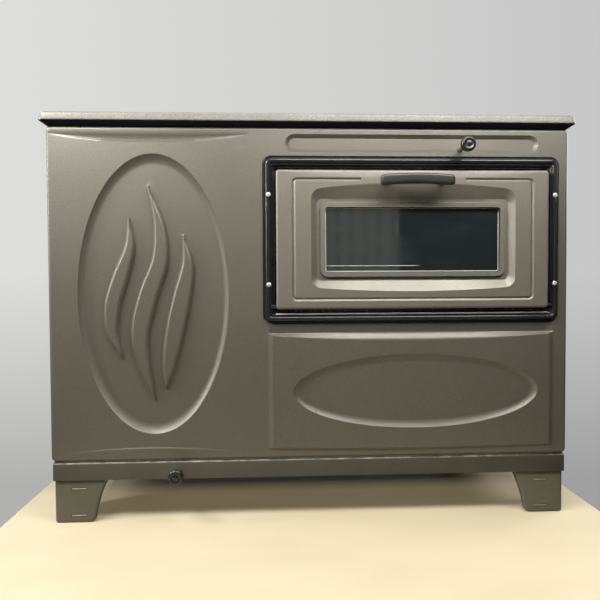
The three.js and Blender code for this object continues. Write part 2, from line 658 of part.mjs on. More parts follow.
function ovenDoorSkin() {
  const outline = (inset) => centredBox(door.x, door.z, doorWidth - 2 * inset, doorHeight - 2 * inset,
    Math.max(doorCorner - inset, 1));
  const flat = { side: 0, lowCorner: 0, lowMiddle: 0, highCorner: 0, highMiddle: 0 };
  const mouth = windowOutline(windowSlope, windowCorners.mouth);
  const foot = windowOutline(flat, windowCorners.floor);
  const form = (shift) => trayForm({ outline, front: door.front, depth: doorDepth, edge: doorEdge }, shift)
    .subtract(hollow(mouth, foot, door.front + shift, windowRecess));
  const opening = centredBox(door.x, door.z, windowSize.width, windowSize.height, windowSize.corner);
  const trim = block([door.x - windowSize.width / 2 - windowTrim.border, windowFloor - windowTrim.height,
    door.z - windowSize.height / 2 - windowTrim.border],
  [door.x + windowSize.width / 2 + windowTrim.border, windowFloor + sheet / 2,
    door.z + windowSize.height / 2 + windowTrim.border]);
  let skin = pressed(form).subtract(doorGrooveCut()).add(trim);
  skin = skin.subtract(prism(opening, door.front - 1, doorBack + 1, facing));
  for (const side of ends) {
    skin = skin.subtract(hingeBore(side));
  }
  for (const x of postPlaces()) {
    const bore = round(handlePost.radius - 1 + fit, door.front - 1, door.front + 4, "y", [x, 0, handleZ], 10);
    skin = skin.subtract(bore);
  }
  return skin;
}

function ovenGlass() {
  const { width, height } = windowSize;
  const { border } = windowTrim;
  const outline = centredBox(door.x, door.z, width + 2 * border, height + 2 * border, 3);
  return prism(outline, glassFront, glassFront + glassThickness, facing);
}

function ovenDoorLiner() {
  const inset = sheet + fit;
  const outline = centredBox(door.x, door.z, doorWidth - 2 * inset, doorHeight - 2 * inset,
    doorCorner - inset);
  const view = centredBox(door.x, door.z, windowSize.width, windowSize.height, windowSize.corner);
  return prism(outline, linerFront, doorBack, facing)
    .subtract(prism(view, linerFront - 1, doorBack + 1, facing));
}

function ovenDoorSeal() {
  const ring = (inset) => centredBox(door.x, door.z, doorWidth - 2 * inset, doorHeight - 2 * inset, 4);
  const outer = prism(ring(sealInset), doorBack + fit, ovenFront - fit, facing);
  return outer.subtract(prism(ring(sealInset + sealWidth), doorBack - 1, ovenFront + 1, facing));
}

const handleZ = door.z1 - handle.drop;
const postPlaces = () => ends.map((side) => door.x + (side * handlePost.spacing) / 2);

/** The door handle: an arched bar with chamfered ends, on two posts. */
function ovenDoorHandle() {
  const { length, height, arch, thickness, reach, tilt } = handle;
  const bar = (inset) => centredBox(door.x, handleZ, length - 2 * inset, height - inset, 3 - inset / 2,
    { high: arch, along: 7, steps: 2 });
  let solid = loft([
    { outline: bar(2), at: -reach },
    { outline: bar(0), at: -reach + 2 },
    { outline: bar(0), at: -reach + thickness - 3 },
    { outline: bar(3), at: -reach + thickness },
  ], facing);
  for (const side of ends) {
    const corner = block([-tilt, -tilt, -height], [2 * tilt, tilt, 2 * height]).rotate([0, side * 45, 0]);
    const away = side * (length / 2 + tilt / 2);
    solid = solid.subtract(corner.translate([door.x + away, -reach - thickness, handleZ + height]));
  }
  for (const x of postPlaces()) {
    solid = solid.add(turned([[0, -reach + thickness - 2], [handlePost.radius, -reach + thickness - 2],
      [handlePost.radius, door.front - fit], [handlePost.radius - 1, door.front - fit],
      [handlePost.radius - 1, door.front + sheet], [0, door.front + sheet]], "y", [x, 0, handleZ], 12));
  }
  return solid;
}

// ---------------------------------------------------------------- oven
const runnerY = { y0: ovenFront + 20, y1: ovenFront + 20 + runner.length };
const runnerTop = cavityBox.z0 + runner.height;

/** The oven's lining: a box open to the front, with a flange round its mouth and two ledges for the rack. */
function ovenBox() {
  const { x0, x1, z0, z1, back } = cavityBox;
  const ledge = (from, to) => block([from, runnerY.y0, runnerTop - runner.thickness],
    [to, runnerY.y1, runnerTop]);
  const outer = block([x0 - sheet, ovenFront, z0 - sheet], [x1 + sheet, back + sheet, z1 + sheet]);
  const rim = centredBox(door.x, door.z, ovenHole.width + 2 * ovenFlange,
    ovenHole.height + 2 * ovenFlange, 4);
  const flange = prism(rim, ovenFront, ovenFront + sheet, facing);
  return outer.add(flange).subtract(block([x0, ovenFront - 1, z0], [x1, back, z1]))
    .add(ledge(x0 - sheet / 2, x0 + runner.width))
    .add(ledge(x1 - runner.width, x1 + sheet / 2));
}

const rackY = { y0: runnerY.y0 + sheet, y1: runnerY.y1 - sheet };
const rackZ = runnerTop + fit + rack.rod;

/** A wire rack: two side rods that lie on the runners, with wires welded across them. */
function ovenRack() {
  const inset = rack.rod + 2 * running;
  const sides = [cavityBox.x0 + inset, cavityBox.x1 - inset];
  const rod = (x) => round(rack.rod, rackY.y0, rackY.y1, "y", [x, 0, rackZ], 8);
  let solid = rod(sides[0]).add(rod(sides[1]));
  const step = (rackY.y1 - rackY.y0 - 2 * rack.rod) / (rack.wires - 1);
  for (let i = 0; i < rack.wires; i++) {
    const y = rackY.y0 + rack.rod + i * step;
    solid = solid.add(round(rack.wire, sides[0], sides[1], "x", [0, y, rackZ], 6));
  }
  return solid;
}

const trayZ = rackZ + rack.wire + fit;

/** A baking tray with sloping sides and a flat rim. */
function bakingTray() {
  const { height, slope, rim, margin } = tray;
  const x0 = cavityBox.x0 + margin;
  const x1 = cavityBox.x1 - margin;
  const box = (inset) => roundedBox(x0 + inset, x1 - inset, rackY.y0 + inset, rackY.y1 - inset, 12);
  const wall = tray.sheet;
  const bowl = (shift) => loft([
    { outline: box(rim + slope + shift), at: trayZ + shift },
    { outline: box(rim + shift), at: trayZ + height + (shift ? 1 : 0) },
  ], lying);
  const lip = prism(box(0), trayZ + height - wall, trayZ + height, lying);
  return bowl(0).add(lip).subtract(bowl(wall));
}

// ---------------------------------------------------------------- knobs, rods and what they move
/** A round black knob with a ringed face and a blind bore for its rod, front at y = -reach. */
function pullKnob(x, z, reach) {
  const { radius, length, neck, face, rim } = knob;
  const front = -reach;
  const knobBack = front + length;
  const profile = [[0, front + 1], [face - rim, front + 1], [face - rim / 2, front], [face + 1, front + 0.4],
    [radius, front + 4], [radius, front + 9], [neck + 1, knobBack - 4], [neck, knobBack], [0, knobBack]];
  const body = turned(profile, "y", [x, 0, z], 24);
  return body.subtract(round(rodRadius + fit / 2, front + length / 2, knobBack + 1, "y", [x, 0, z], 12));
}

const rodFront = (reach) => -reach + knob.length / 2 + fit;
const flueBoxFront = bodyDepth - sheet - fit - flueBox.depth;

/** The damper: a rod from its knob to an upright plate that covers the direct way into the flue. */
function damperRod() {
  const plateBack = flueBoxFront - fit;
  const plateFront = plateBack - sheet;
  const { reach, plateWidth, plateHeight } = damperPull;
  const rod = round(rodRadius, rodFront(reach), plateFront + 1, "y", [damper.x, 0, damper.z], 12);
  const top = damper.z + 12;
  const plate = block([damper.x - plateWidth / 2, plateFront, top - plateHeight],
    [damper.x + plateWidth / 2, plateBack, top]);
  return rod.add(plate);
}

const slotTop = damper.z + 6;

/** A box on the back panel round the flue: a slot in its face for the direct way, open below for the long. */
function flueChamber() {
  const { width, depth, drop, slotWidth, slotHeight } = flueBox;
  const x0 = damper.x - width / 2;
  const x1 = damper.x + width / 2;
  const z0 = flueZ - drop;
  const z1 = panelTop - flangeDepth;
  const back = flueBoxFront + depth;
  const shell = block([x0, flueBoxFront, z0], [x1, back, z1])
    .subtract(block([x0 + sheet, flueBoxFront + sheet, z0 - 1], [x1 - sheet, back + 1, z1 - sheet]));
  const slot = block([damper.x - slotWidth / 2, flueBoxFront - 1, slotTop - slotHeight],
    [damper.x + slotWidth / 2, flueBoxFront + 2 * sheet, slotTop]);
  return shell.subtract(slot);
}

const slideTop = railTop + fit - running;
const airPlateY = { y0: airHole.y - airPull.plateLength / 2, y1: airHole.y + airPull.plateLength / 2 };

/** The air slide: a rod from its knob, a tab and a plate that covers the air hole in the bottom plate. */
function airSlide() {
  const { reach, plateWidth } = airPull;
  const x = airX;
  const rod = round(rodRadius, rodFront(reach), airPlateY.y0 + sheet, "y", [x, 0, railMiddle], 12);
  const tab = block([x - 2 * rodRadius, airPlateY.y0, railMiddle - rodRadius - 1],
    [x + 2 * rodRadius, airPlateY.y0 + sheet, slideTop]);
  const plate = block([x - plateWidth / 2, airPlateY.y0, slideTop - sheet],
    [x + plateWidth / 2, airPlateY.y1, slideTop]);
  return rod.add(tab).add(plate);
}

/** An angle under the bottom plate that carries one edge of the air slide. */
function airGuide(side) {
  const near = airPull.plateWidth / 2 + running;
  const lipInset = 8;
  const lipTop = slideTop - sheet - fit;
  const span = (a, b) => (side < 0 ? [airX - b, airX - a] : [airX + a, airX + b]);
  const [u0, u1] = span(near, near + sheet);
  const [v0, v1] = span(near - lipInset, near + sheet);
  const y0 = airPlateY.y0 - airPull.travel - 6;
  const y1 = airPlateY.y1 + 6;
  const lip = block([v0, y0, lipTop - sheet], [v1, y1, lipTop]);
  return block([u0, y0, lipTop - sheet], [u1, y1, railTop]).add(lip);
}

// ---------------------------------------------------------------- firebox
const ashWallTop = shelfZ - fit;

/** An upright plate beside the ash drawer, carrying the firebox shelf. */
function ashWallAt(side) {
  const y = side < 0 ? drawerY.y0 - running - ashWall : drawerY.y1 + running;
  return block([-half + flangeDepth + fit, y, panelBottom], [firebox.x1, y + ashWall, ashWallTop]);
}

function fireboxShelf() {
  const edge = flangeDepth + fit;
  const plate = block([-half + edge, edge, shelfZ],
    [firebox.x1 + shelf.overhang, bodyDepth - edge, shelfTop]);
  const seat = 12;
  const x = grate.length / 2 - seat;
  const y = grate.width / 2 - seat;
  return plate.subtract(block([fireCentre.x - x, fireCentre.y - y, 0],
    [fireCentre.x + x, fireCentre.y + y, panelTop]));
}

const grateTop = shelfTop + fit + grate.thickness;

/** The cast grate: a slab with long slots between its bars. */
function fireGrate() {
  const { length, width, thickness, slots, slotWidth } = grate;
  const z0 = shelfTop + fit;
  let solid = block([fireCentre.x - length / 2, fireCentre.y - width / 2, z0],
    [fireCentre.x + length / 2, fireCentre.y + width / 2, z0 + thickness]);
  const pitch = (width - 30) / slots;
  for (let i = 0; i < slots; i++) {
    const y = fireCentre.y + (i - (slots - 1) / 2) * pitch;
    solid = solid.subtract(block([fireCentre.x - length / 2 + 18, y - slotWidth / 2, z0 - 1],
      [fireCentre.x + length / 2 - 18, y + slotWidth / 2, z0 + thickness + 1]));
  }
  return solid;
}

const linerBottom = shelfTop + fit;
const linerTop = plateUnderside - liner.clear;

function sideLiner(side) {
  const y = side < 0 ? firebox.y0 - liner.thickness : firebox.y1;
  return block([firebox.x0 - liner.thickness, y, linerBottom],
    [firebox.x1 + liner.thickness, y + liner.thickness, linerTop]);
}

const innerLiner = () => block([firebox.x1, firebox.y0 + fit, linerBottom],
  [firebox.x1 + liner.thickness, firebox.y1 - fit, plateUnderside - liner.innerClear]);

/** The liner on the loading side, with the loading opening through it. */
function mouthLiner() {
  const slab = block([firebox.x0 - liner.thickness, firebox.y0 + fit, linerBottom],
    [firebox.x0, firebox.y1 - fit, linerTop]);
  return slab.subtract(block([-half, loadingY.y0, loadingZ.z0], [half, loadingY.y1, loadingZ.z1]));
}

// ---------------------------------------------------------------- loading door in the left end
const frameFace = -half - fit - loadingThickness.frame; // outer face of the cast frame
const doorInside = frameFace - fit;
const doorOutside = doorInside - loadingThickness.door;
const doorOverlapY = { y0: loadingY.y0 - loading.overlap, y1: loadingY.y1 + loading.overlap };
const loadingPinAt = {
  x: doorInside - loadingPin.eye,
  y: doorOverlapY.y1 + loadingPin.eye + loadingPin.clear,
};
const lugLevels = [loadingZ.z0 + 14, loadingZ.z1 - 14];
const earHeight = 10;

/** An eye round the vertical hinge pin. */
const pinEye = (z0, z1) => round(loadingPin.eye, z0, z1, "z", [loadingPinAt.x, loadingPinAt.y, 0], 16);

const pinBore = () => round(loadingPin.radius + fit / 2, 0, panelTop, "z",
  [loadingPinAt.x, loadingPinAt.y, 0], 16);

/** The cast frame of the loading door, with an ear under each lug of the door. */
function loadingFrame() {
  const { border } = loading;
  const face = [frameFace, frameFace + loadingThickness.frame];
  const y0 = loadingY.y0 - border;
  const y1 = loadingPinAt.y + loadingPin.eye;
  const outer = roundedBox(y0, y1, loadingZ.z0 - border, loadingZ.z1 + border, 8, { steps: 2 });
  const inner = roundedBox(loadingY.y0, loadingY.y1, loadingZ.z0, loadingZ.z1, 8, { steps: 2 });
  let frame = prism(outer, ...face, endways);
  for (const z of lugLevels) {
    const under = z - loadingPin.lugHeight / 2 - fit;
    const foot = block([loadingPinAt.x, loadingPinAt.y - loadingPin.eye, under - earHeight],
      [frameFace + 1, y1, under]);
    frame = frame.add(pinEye(under - earHeight, under)).add(foot);
  }
  return frame.subtract(prism(inner, face[0] - 1, face[1] + 1, endways)).subtract(pinBore());
}

const latchAt = { y: loadingY.y0 + latch.inset, z: loadingMiddle };
const spinnerZ = loadingZ.z0 + spinner.above;
const spinnerCentre = [0, fireCentre.y, spinnerZ];

/** Places on the spinner's circle, turned by a share of the spacing. */
const ventPlaces = (turn) => times(4, (i) => {
  const angle = (Math.PI / 2) * (i + turn);
  const { holeCircle } = spinner;
  return [fireCentre.y + holeCircle * Math.cos(angle), spinnerZ + holeCircle * Math.sin(angle)];
});

function ventHoles(turn, x0, x1) {
  return ventPlaces(turn).map(([y, z]) => round(spinner.holeRadius, x0, x1, "x", [0, y, z], 12));
}

/** The cast loading door: a raised field inside a bevelled border, lugs for its hinge and its vent holes. */
function loadingDoor() {
  const { y0, y1 } = doorOverlapY;
  const z0 = loadingZ.z0 - loading.overlap;
  const z1 = loadingZ.z1 + loading.overlap;
  const box = (inset) => roundedBox(y0 + inset, y1 - inset, z0 + inset, z1 - inset, 8, { steps: 2 });
  const slab = loft([
    { outline: box(3), at: doorOutside },
    { outline: box(0), at: doorOutside + 3 },
    { outline: box(0), at: doorInside },
  ], endways);
  const field = loft([
    { outline: box(16), at: doorOutside - 1 },
    { outline: box(16), at: doorOutside },
    { outline: box(19), at: doorOutside + 2.5 },
  ], endways);
  let solid = slab.subtract(field);
  for (const z of lugLevels) {
    const low = z - loadingPin.lugHeight / 2;
    const high = z + loadingPin.lugHeight / 2;
    const web = block([doorOutside, y1 - 1, low], [doorInside, loadingPinAt.y, high]);
    solid = solid.add(pinEye(low, high)).add(web);
  }
  for (const hole of ventHoles(0.5, doorOutside - 1, doorInside + 1)) solid = solid.subtract(hole);
  const axle = round(latch.shaft - 1 + fit, doorOutside - 1, doorInside + 1, "x", spinnerCentre, 12);
  const shaft = round(latch.shaft + fit, doorOutside - 1, doorInside + 1, "x", [0, latchAt.y, latchAt.z], 12);
  return solid.subtract(pinBore()).subtract(axle).subtract(shaft);
}

/** The baffle inside the loading door, held off it by two studs. */
function loadingBaffle() {
  const x0 = doorInside + baffle.gap;
  const y0 = latchAt.y + 16;
  const plate = block([x0, y0, loadingZ.z0 + baffle.inset],
    [x0 + baffle.thickness, loadingY.y1 - baffle.inset, loadingZ.z1 - baffle.inset]);
  const studs = [loadingZ.z0 + 40, loadingZ.z1 - 40].map((z) =>
    round(5, doorInside + fit, x0 + 1, "x", [0, fireCentre.y + 50, z], 10));
  return studs.reduce((solid, stud) => solid.add(stud), plate);
}

function loadingHingePin() {
  const reach = loadingPin.lugHeight / 2;
  return round(loadingPin.radius, lugLevels[0] - reach - earHeight - 2, lugLevels[1] + reach + 4, "z",
    [loadingPinAt.x, loadingPinAt.y, 0], 12);
}

/** The latch: lever and grip outside, shaft through the door, tongue inside that turns behind the frame. */
function loadingLatch() {
  const { shaft, lever, leverWidth, grip, reach, tongue } = latch;
  const { y, z } = latchAt;
  const leverX = doorOutside - fit - 7;
  const tongueX = -half + sheet + 2;
  let solid = round(shaft, leverX, tongueX + 4, "x", [0, y, z], 12);
  solid = solid.add(block([leverX, y - leverWidth / 2, z - leverWidth / 2],
    [leverX + 6, y + leverWidth / 2, z + lever]));
  const gripFront = -half - reach;
  solid = solid.add(turned([[0, gripFront], [grip - 2, gripFront], [grip, gripFront + 3], [grip - 1, leverX],
    [0, leverX + 3]], "x", [0, y, z + lever - grip], 16));
  return solid.add(block([tongueX, y - 6, z - tongue], [tongueX + 4, y + 6, z + 8]));
}

/** The air spinner: a disc with four holes, a wing to turn it by and an axle through the door. */
function airSpinner() {
  const x1 = doorOutside + 2.5 - fit;
  const x0 = x1 - spinner.thickness;
  const [, y, z] = spinnerCentre;
  let solid = turned([[0, x0], [spinner.radius - 1.5, x0], [spinner.radius, x0 + 1.5], [spinner.radius, x1],
    [latch.shaft - 1, x1], [latch.shaft - 1, doorInside + 3], [0, doorInside + 3]], "x", spinnerCentre, 32);
  solid = solid.add(block([x0 - spinner.wing, y - 2.5, z - 15], [x0 + 1, y + 2.5, z + 15]));
  for (const hole of ventHoles(0, x0 - 1, x1 + 1)) solid = solid.subtract(hole);
  return solid;
}

// ---------------------------------------------------------------- ash drawer
const drawerX = { x0: -half - fit, x1: -half + drawer.length };

/** The ash drawer: an open box behind a front plate that covers its opening. */
function ashDrawer() {
  const { margin, thickness } = drawerFront;
  const wall = drawer.sheet;
  const { y0, y1 } = drawerY;
  const { z0, z1 } = drawerZ;
  const box = block([drawerX.x0 - 1, y0, z0], [drawerX.x1, y1, z1])
    .subtract(block([drawerX.x0 + wall, y0 + wall, z0 + wall], [drawerX.x1 - wall, y1 - wall, z1 + 1]));
  const outline = (inset) => roundedBox(y0 - margin + inset, y1 + margin - inset,
    z0 - 0.5 * margin + inset, z1 + margin - inset, 4, { steps: 2 });
  const face = drawerX.x0 - thickness;
  const front = loft([{ outline: outline(2), at: face }, { outline: outline(0), at: face + 2 },
    { outline: outline(0), at: drawerX.x0 }], endways);
  return box.add(front);
}

/** A bar handle on two posts, screwed to the drawer front. */
function ashDrawerPull() {
  const face = drawerX.x0 - drawerFront.thickness - fit;
  const { width, reach, thickness, post } = drawerPull;
  const z = (drawerZ.z0 + drawerZ.z1) / 2;
  const outline = centredBox(fireCentre.y, z, width, thickness + 4, 4);
  const bar = prism(outline, face - reach, face - reach + thickness, endways);
  const posts = ends.map((side) =>
    round(post, face - reach + 2, face, "x", [0, fireCentre.y + side * (width / 2 - 10), z], 10));
  return posts.reduce((solid, piece) => solid.add(piece), bar);
}

// ---------------------------------------------------------------- flue
/** The flue collar: a short tube with a round flange on the back panel. */
function flueCollar() {
  const { radius, wall, flange, flangeThickness, reach } = flue;
  const face = fit;
  return turned([[radius - wall, face], [radius + flange, face], [radius + flange, face + flangeThickness],
    [radius, face + flangeThickness], [radius, reach], [radius - wall, reach], [radius - wall, face]],
  "y", [damper.x, bodyDepth, flueZ], 40);
}

// ---------------------------------------------------------------- assembly
const material = (color, roughness, metalness) =>
  new THREE.MeshStandardMaterial({ color, roughness, metalness });
const finishes = {
  paint: material(0x6f6a5f, 0.55, 0.3),
  frame: material(0x0c0c0d, 0.2, 0.1),
  collar: material(0x14161c, 0.35, 0.3),
  iron: material(0xb3a996, 0.6, 0.5),
  castIron: material(0x3a3835, 0.75, 0.4),
  steel: material(0x8b8b88, 0.45, 0.8),
  zinc: material(0xc9ccd0, 0.3, 0.9),
  enamel: material(0x1c1c1e, 0.3, 0.2),
  glass: material(0x1a1f24, 0.05, 0),
  knob: material(0x141414, 0.4, 0),
  grip: material(0x4c4b49, 0.6, 0),
  rope: material(0x9a968c, 0.9, 0),
};

const pieces = [
  ["front_panel", frontPanel(), "paint"],
  ["left_side_panel", sidePanel(-1), "paint"],
  ["right_side_panel", sidePanel(1), "paint"],
  ["back_panel", backPanel(), "paint"],
  ["bottom_plate", bottomPlate(), "steel"],
  ["front_rail", frontRail(), "paint"],
  ["rear_rail", rearRail(), "paint"],
  ["left_rail", sideRail(-1), "paint"],
  ["right_rail", sideRail(1), "paint"],
  ["leg_front_left", legAt(0), "paint"],
  ["leg_front_right", legAt(1), "paint"],
  ["leg_rear_right", legAt(2), "paint"],
  ["leg_rear_left", legAt(3), "paint"],
  ["collar_front", collarStrip("front"), "collar"],
  ["collar_rear", collarStrip("rear"), "collar"],
  ["collar_left", collarStrip("left"), "collar"],
  ["collar_right", collarStrip("right"), "collar"],
  ["cooktop_plate", cooktopPlate(), "iron"],
  ["cooktop_ring", cooktopRing(), "iron"],
  ["cooktop_lid", lid(lidRadius, fireCentre.x, fireCentre.y), "iron"],
  ["small_lid", lid(smallLidRadius, smallLidX, fireCentre.y), "iron"],
  ["oven_frame", ovenFrame(), "frame"],
  ...screwPlaces().map((place, i) => [`frame_screw_${i + 1}`, panHeadScrew(place), "zinc"]),
  ["oven_door_skin", ovenDoorSkin(), "paint"],
  ["oven_glass", ovenGlass(), "glass"],
  ["oven_door_liner", ovenDoorLiner(), "enamel"],
  ["oven_door_seal", ovenDoorSeal(), "rope"],
  ["oven_door_handle", ovenDoorHandle(), "grip"],
  ["oven_hinge_pin_left", hingePinAt(-1), "steel"],
  ["oven_hinge_pin_right", hingePinAt(1), "steel"],
  ["oven_box", ovenBox(), "enamel"],
  ["oven_rack", ovenRack(), "steel"],
  ["baking_tray", bakingTray(), "enamel"],
  ["damper_knob", pullKnob(damper.x, damper.z, damperPull.reach), "knob"],
  ["damper_rod", damperRod(), "steel"],
  ["flue_chamber", flueChamber(), "steel"],
  ["flue_collar", flueCollar(), "castIron"],
  ["air_knob", pullKnob(airX, railMiddle, airPull.reach), "knob"],
  ["air_slide", airSlide(), "steel"],
  ["air_guide_left", airGuide(-1), "steel"],
  ["air_guide_right", airGuide(1), "steel"],
  ["ash_wall_front", ashWallAt(-1), "steel"],
  ["ash_wall_rear", ashWallAt(1), "steel"],
  ["firebox_shelf", fireboxShelf(), "steel"],
  ["fire_grate", fireGrate(), "castIron"],
  ["liner_front", sideLiner(-1), "castIron"],
  ["liner_rear", sideLiner(1), "castIron"],
  ["liner_inner", innerLiner(), "castIron"],
  ["liner_mouth", mouthLiner(), "castIron"],
  ["loading_frame", loadingFrame(), "castIron"],
  ["loading_door", loadingDoor(), "castIron"],
  ["loading_baffle", loadingBaffle(), "castIron"],
  ["loading_hinge_pin", loadingHingePin(), "steel"],
  ["loading_latch", loadingLatch(), "steel"],
  ["air_spinner", airSpinner(), "castIron"],
  ["ash_drawer", ashDrawer(), "paint"],
  ["ash_drawer_pull", ashDrawerPull(), "steel"],
];

/** Wraps a solid as a named mesh with flat shading. */
function toMesh([name, solid, finish]) {
  const { vertProperties, triVerts } = solid.getMesh();
  const geometry = new THREE.BufferGeometry();
  geometry.setAttribute("position", new THREE.BufferAttribute(vertProperties, 3));
  geometry.setIndex(new THREE.BufferAttribute(triVerts, 1));
  geometry.computeVertexNormals();
  const mesh = new THREE.Mesh(geometry, finishes[finish]);
  mesh.name = name;
  return mesh;
}

const stove = new THREE.Group();
for (const piece of pieces) stove.add(toMesh(piece));
stove.position.set(-(leftReach + rightReach) / 2, -(frontReach + rearReach) / 2, 0);

export default stove;
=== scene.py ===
import math

import bmesh
import bpy
import numpy as np
from mathutils import Matrix, Vector
from mathutils.geometry import delaunay_2d_cdt


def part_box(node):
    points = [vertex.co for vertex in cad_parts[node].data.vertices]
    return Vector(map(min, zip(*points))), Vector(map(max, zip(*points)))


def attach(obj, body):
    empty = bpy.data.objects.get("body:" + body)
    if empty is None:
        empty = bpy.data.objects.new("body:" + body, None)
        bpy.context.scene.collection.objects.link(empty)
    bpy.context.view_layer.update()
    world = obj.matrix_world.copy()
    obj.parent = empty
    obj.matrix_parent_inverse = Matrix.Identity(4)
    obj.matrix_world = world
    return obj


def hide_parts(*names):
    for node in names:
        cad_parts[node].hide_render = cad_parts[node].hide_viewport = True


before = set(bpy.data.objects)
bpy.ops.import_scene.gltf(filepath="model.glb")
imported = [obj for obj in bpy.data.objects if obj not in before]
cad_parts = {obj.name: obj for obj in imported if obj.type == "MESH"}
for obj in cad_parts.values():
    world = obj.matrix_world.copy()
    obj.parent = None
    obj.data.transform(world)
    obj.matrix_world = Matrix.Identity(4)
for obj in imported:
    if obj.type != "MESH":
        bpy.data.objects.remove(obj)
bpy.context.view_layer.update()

# A wood cookstove in grey-brown enamel. Lengths are in millimetres until a mesh is made of them.
# The front panel's relief is measured from the panel's middle (x) and its bottom edge (z).
MM = 0.001


def box_of(node):
    """A CAD node's lowest and highest corners, in millimetres."""
    low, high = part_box(node)
    return np.array(low) / MM, np.array(high) / MM


def round_of(node):
    """A round CAD node's corners, middle and radius."""
    low, high = box_of(node)
    return low, high, (low + high) / 2, (high[0] - low[0]) / 2


# ------------------------------------------------------------------ driving sizes
panel_low, panel_high = box_of("front_panel")
panel_middle = (panel_low[0] + panel_high[0]) / 2
panel_bottom = panel_low[2]
field_rise = 3.0
face_y = panel_low[1] + field_rise
sheet = 2.0
panel_edge = 5.0
panel_corner = 8.0

tall_oval = {"x": -266.5, "z": 279, "rx": 125.2, "rz": 234.2, "band_x": 10, "band_z": 17, "depth": 7}
wide_oval = {"x": 176.4, "z": 112.1, "rx": 210.3, "rz": 63, "band_x": 11, "band_z": 13, "depth": 5.5}
field = {"x0": -76.8, "x1": 416.2, "z0": 15.6, "z1": 212.4, "sag": 8, "slope": 4, "side": 9, "arch": 4}
field_dip = {"depth": 3.4, "width": 14, "fade": 12}
long_recess = {"x0": -45.5, "x1": 387, "z0": 516.7, "z1": 547, "depth": 5, "slope": 6}
upper_scoop = {"x0": -437, "x1": -109, "z": 546.4, "sag": -12, "depth": 2.6, "wall": 2.6}
lower_scoop = {"x0": -434, "x1": -117, "z": 9.4, "sag": 11, "depth": -1.1, "wall": 2}
flame_height = 7.0
flame_slope = 6.2
# each flame's spine from its tip down, measured from the tall oval's middle
flames = [
    {"width": 29.5, "spine": [(-41, 127), (-40, 78), (-54, 34), (-69, -16), (-70, -63), (-55, -104)]},
    {"width": 35, "spine": [(-9, 180), (9, 117), (10, 57), (-10, -2), (-24, -63), (-18, -118), (-1, -176)]},
    {"width": 34.5, "spine": [(49, 98), (56, 50), (48, 3), (35, -56), (24, -113), (18, -156)]},
]
# no flame reaches farther from the oval's middle; the zone is where its mesh is fine
flame_reach = {"x": 90, "z": 200}
flame_zone = {"left": 92, "right": 72, "z": 190}
flame_tip = 2.4
dent = {"x": -118, "z": 530, "radius": 8, "depth": 0.4}
frame_step = {"depth": 3.0, "margin": 2.5, "wall": 1.0}
oven_hole_margin = 2.0
rod_bore = 4.6


# ------------------------------------------------------------------ outlines and profiles
def ease(t):
    """0 to 1 with a soft start and a soft end."""
    t = np.clip(t, 0, 1)
    return t * t * (3 - 2 * t)


def settle(t):
    """0 to 1 with a crisp start and a soft end."""
    t = np.clip(t, 0, 1)
    return 1 - (1 - t) ** 2


def bow(x, x0, x1):
    """1 in the middle of a span, 0 at its ends."""
    return np.clip(1 - ((2 * x - x0 - x1) / (x1 - x0)) ** 2, 0, 1)


def full_turn(count):
    """Even angles round a circle."""
    return np.linspace(0, 2 * math.pi, count, endpoint=False)


def pairs(x, z):
    """Points from their two coordinates; either may be one number for all of them."""
    return np.stack(np.broadcast_arrays(x, z), axis=1)


def lay(flat, axis, level):
    """Flat points put into space, at a level on the axis square to them."""
    return np.insert(flat, "xyz".index(axis), level, axis=1)


def ellipse(x, z, rx, rz, count):
    turns = full_turn(count)
    return pairs(x + rx * np.cos(turns), z + rz * np.sin(turns))


def grown(box, by):
    """A box of two x and two z values, each side moved out."""
    return [box[0] - by, box[1] + by, box[2] - by, box[3] + by]


def round_box(x0, x1, z0, z1, corner, steps=8, along=1):
    """A rounded rectangle, counter-clockwise, with extra points along its straight sides."""
    corners = [(x1 - corner, z0 + corner, -90), (x1 - corner, z1 - corner, 0), (x0 + corner, z1 - corner, 90),
               (x0 + corner, z0 + corner, 180)]
    points = []
    for index, (x, z, start) in enumerate(corners):
        turns = np.radians(start + np.linspace(0, 90, steps + 1))
        arc = pairs(x + corner * np.cos(turns), z + corner * np.sin(turns))
        next_x, next_z, next_start = corners[(index + 1) % 4]
        turn = math.radians(next_start)
        end = np.array([next_x + corner * math.cos(turn), next_z + corner * math.sin(turn)])
        shares = np.linspace(0, 1, along + 1)[1:-1, None]
        points.append(np.concatenate([arc, arc[-1] + (end - arc[-1]) * shares]))
    return np.concatenate(points)


def rim(box, inset, corner, steps=8, along=1):
    """A rounded rectangle drawn in from a box's sides."""
    return round_box(*grown(box, -inset), corner, steps, along)


def nested(box, corner, insets, least=0, steps=8, along=30):
    """Rims drawn in by several insets; their corners tighten with them, down to a least radius."""
    return [rim(box, inset, max(corner - inset, least), steps, along) for inset in insets]


def middle_box(half_x, half_z):
    """A box round 0, 0."""
    return [-half_x, half_x, -half_z, half_z]


def seen_box(low, high):
    """The box that two corners span when seen from the front."""
    return [low[0], high[0], low[2], high[2]]


def box_distance(x, z, x0, x1, z0, z1, corner):
    """Signed distance to a rounded rectangle, negative inside it."""
    across = np.abs(x - (x0 + x1) / 2) - (x1 - x0) / 2 + corner
    up = np.abs(z - (z0 + z1) / 2) - (z1 - z0) / 2 + corner
    outside = np.hypot(np.maximum(across, 0), np.maximum(up, 0))
    return outside + np.minimum(np.maximum(across, up), 0) - corner


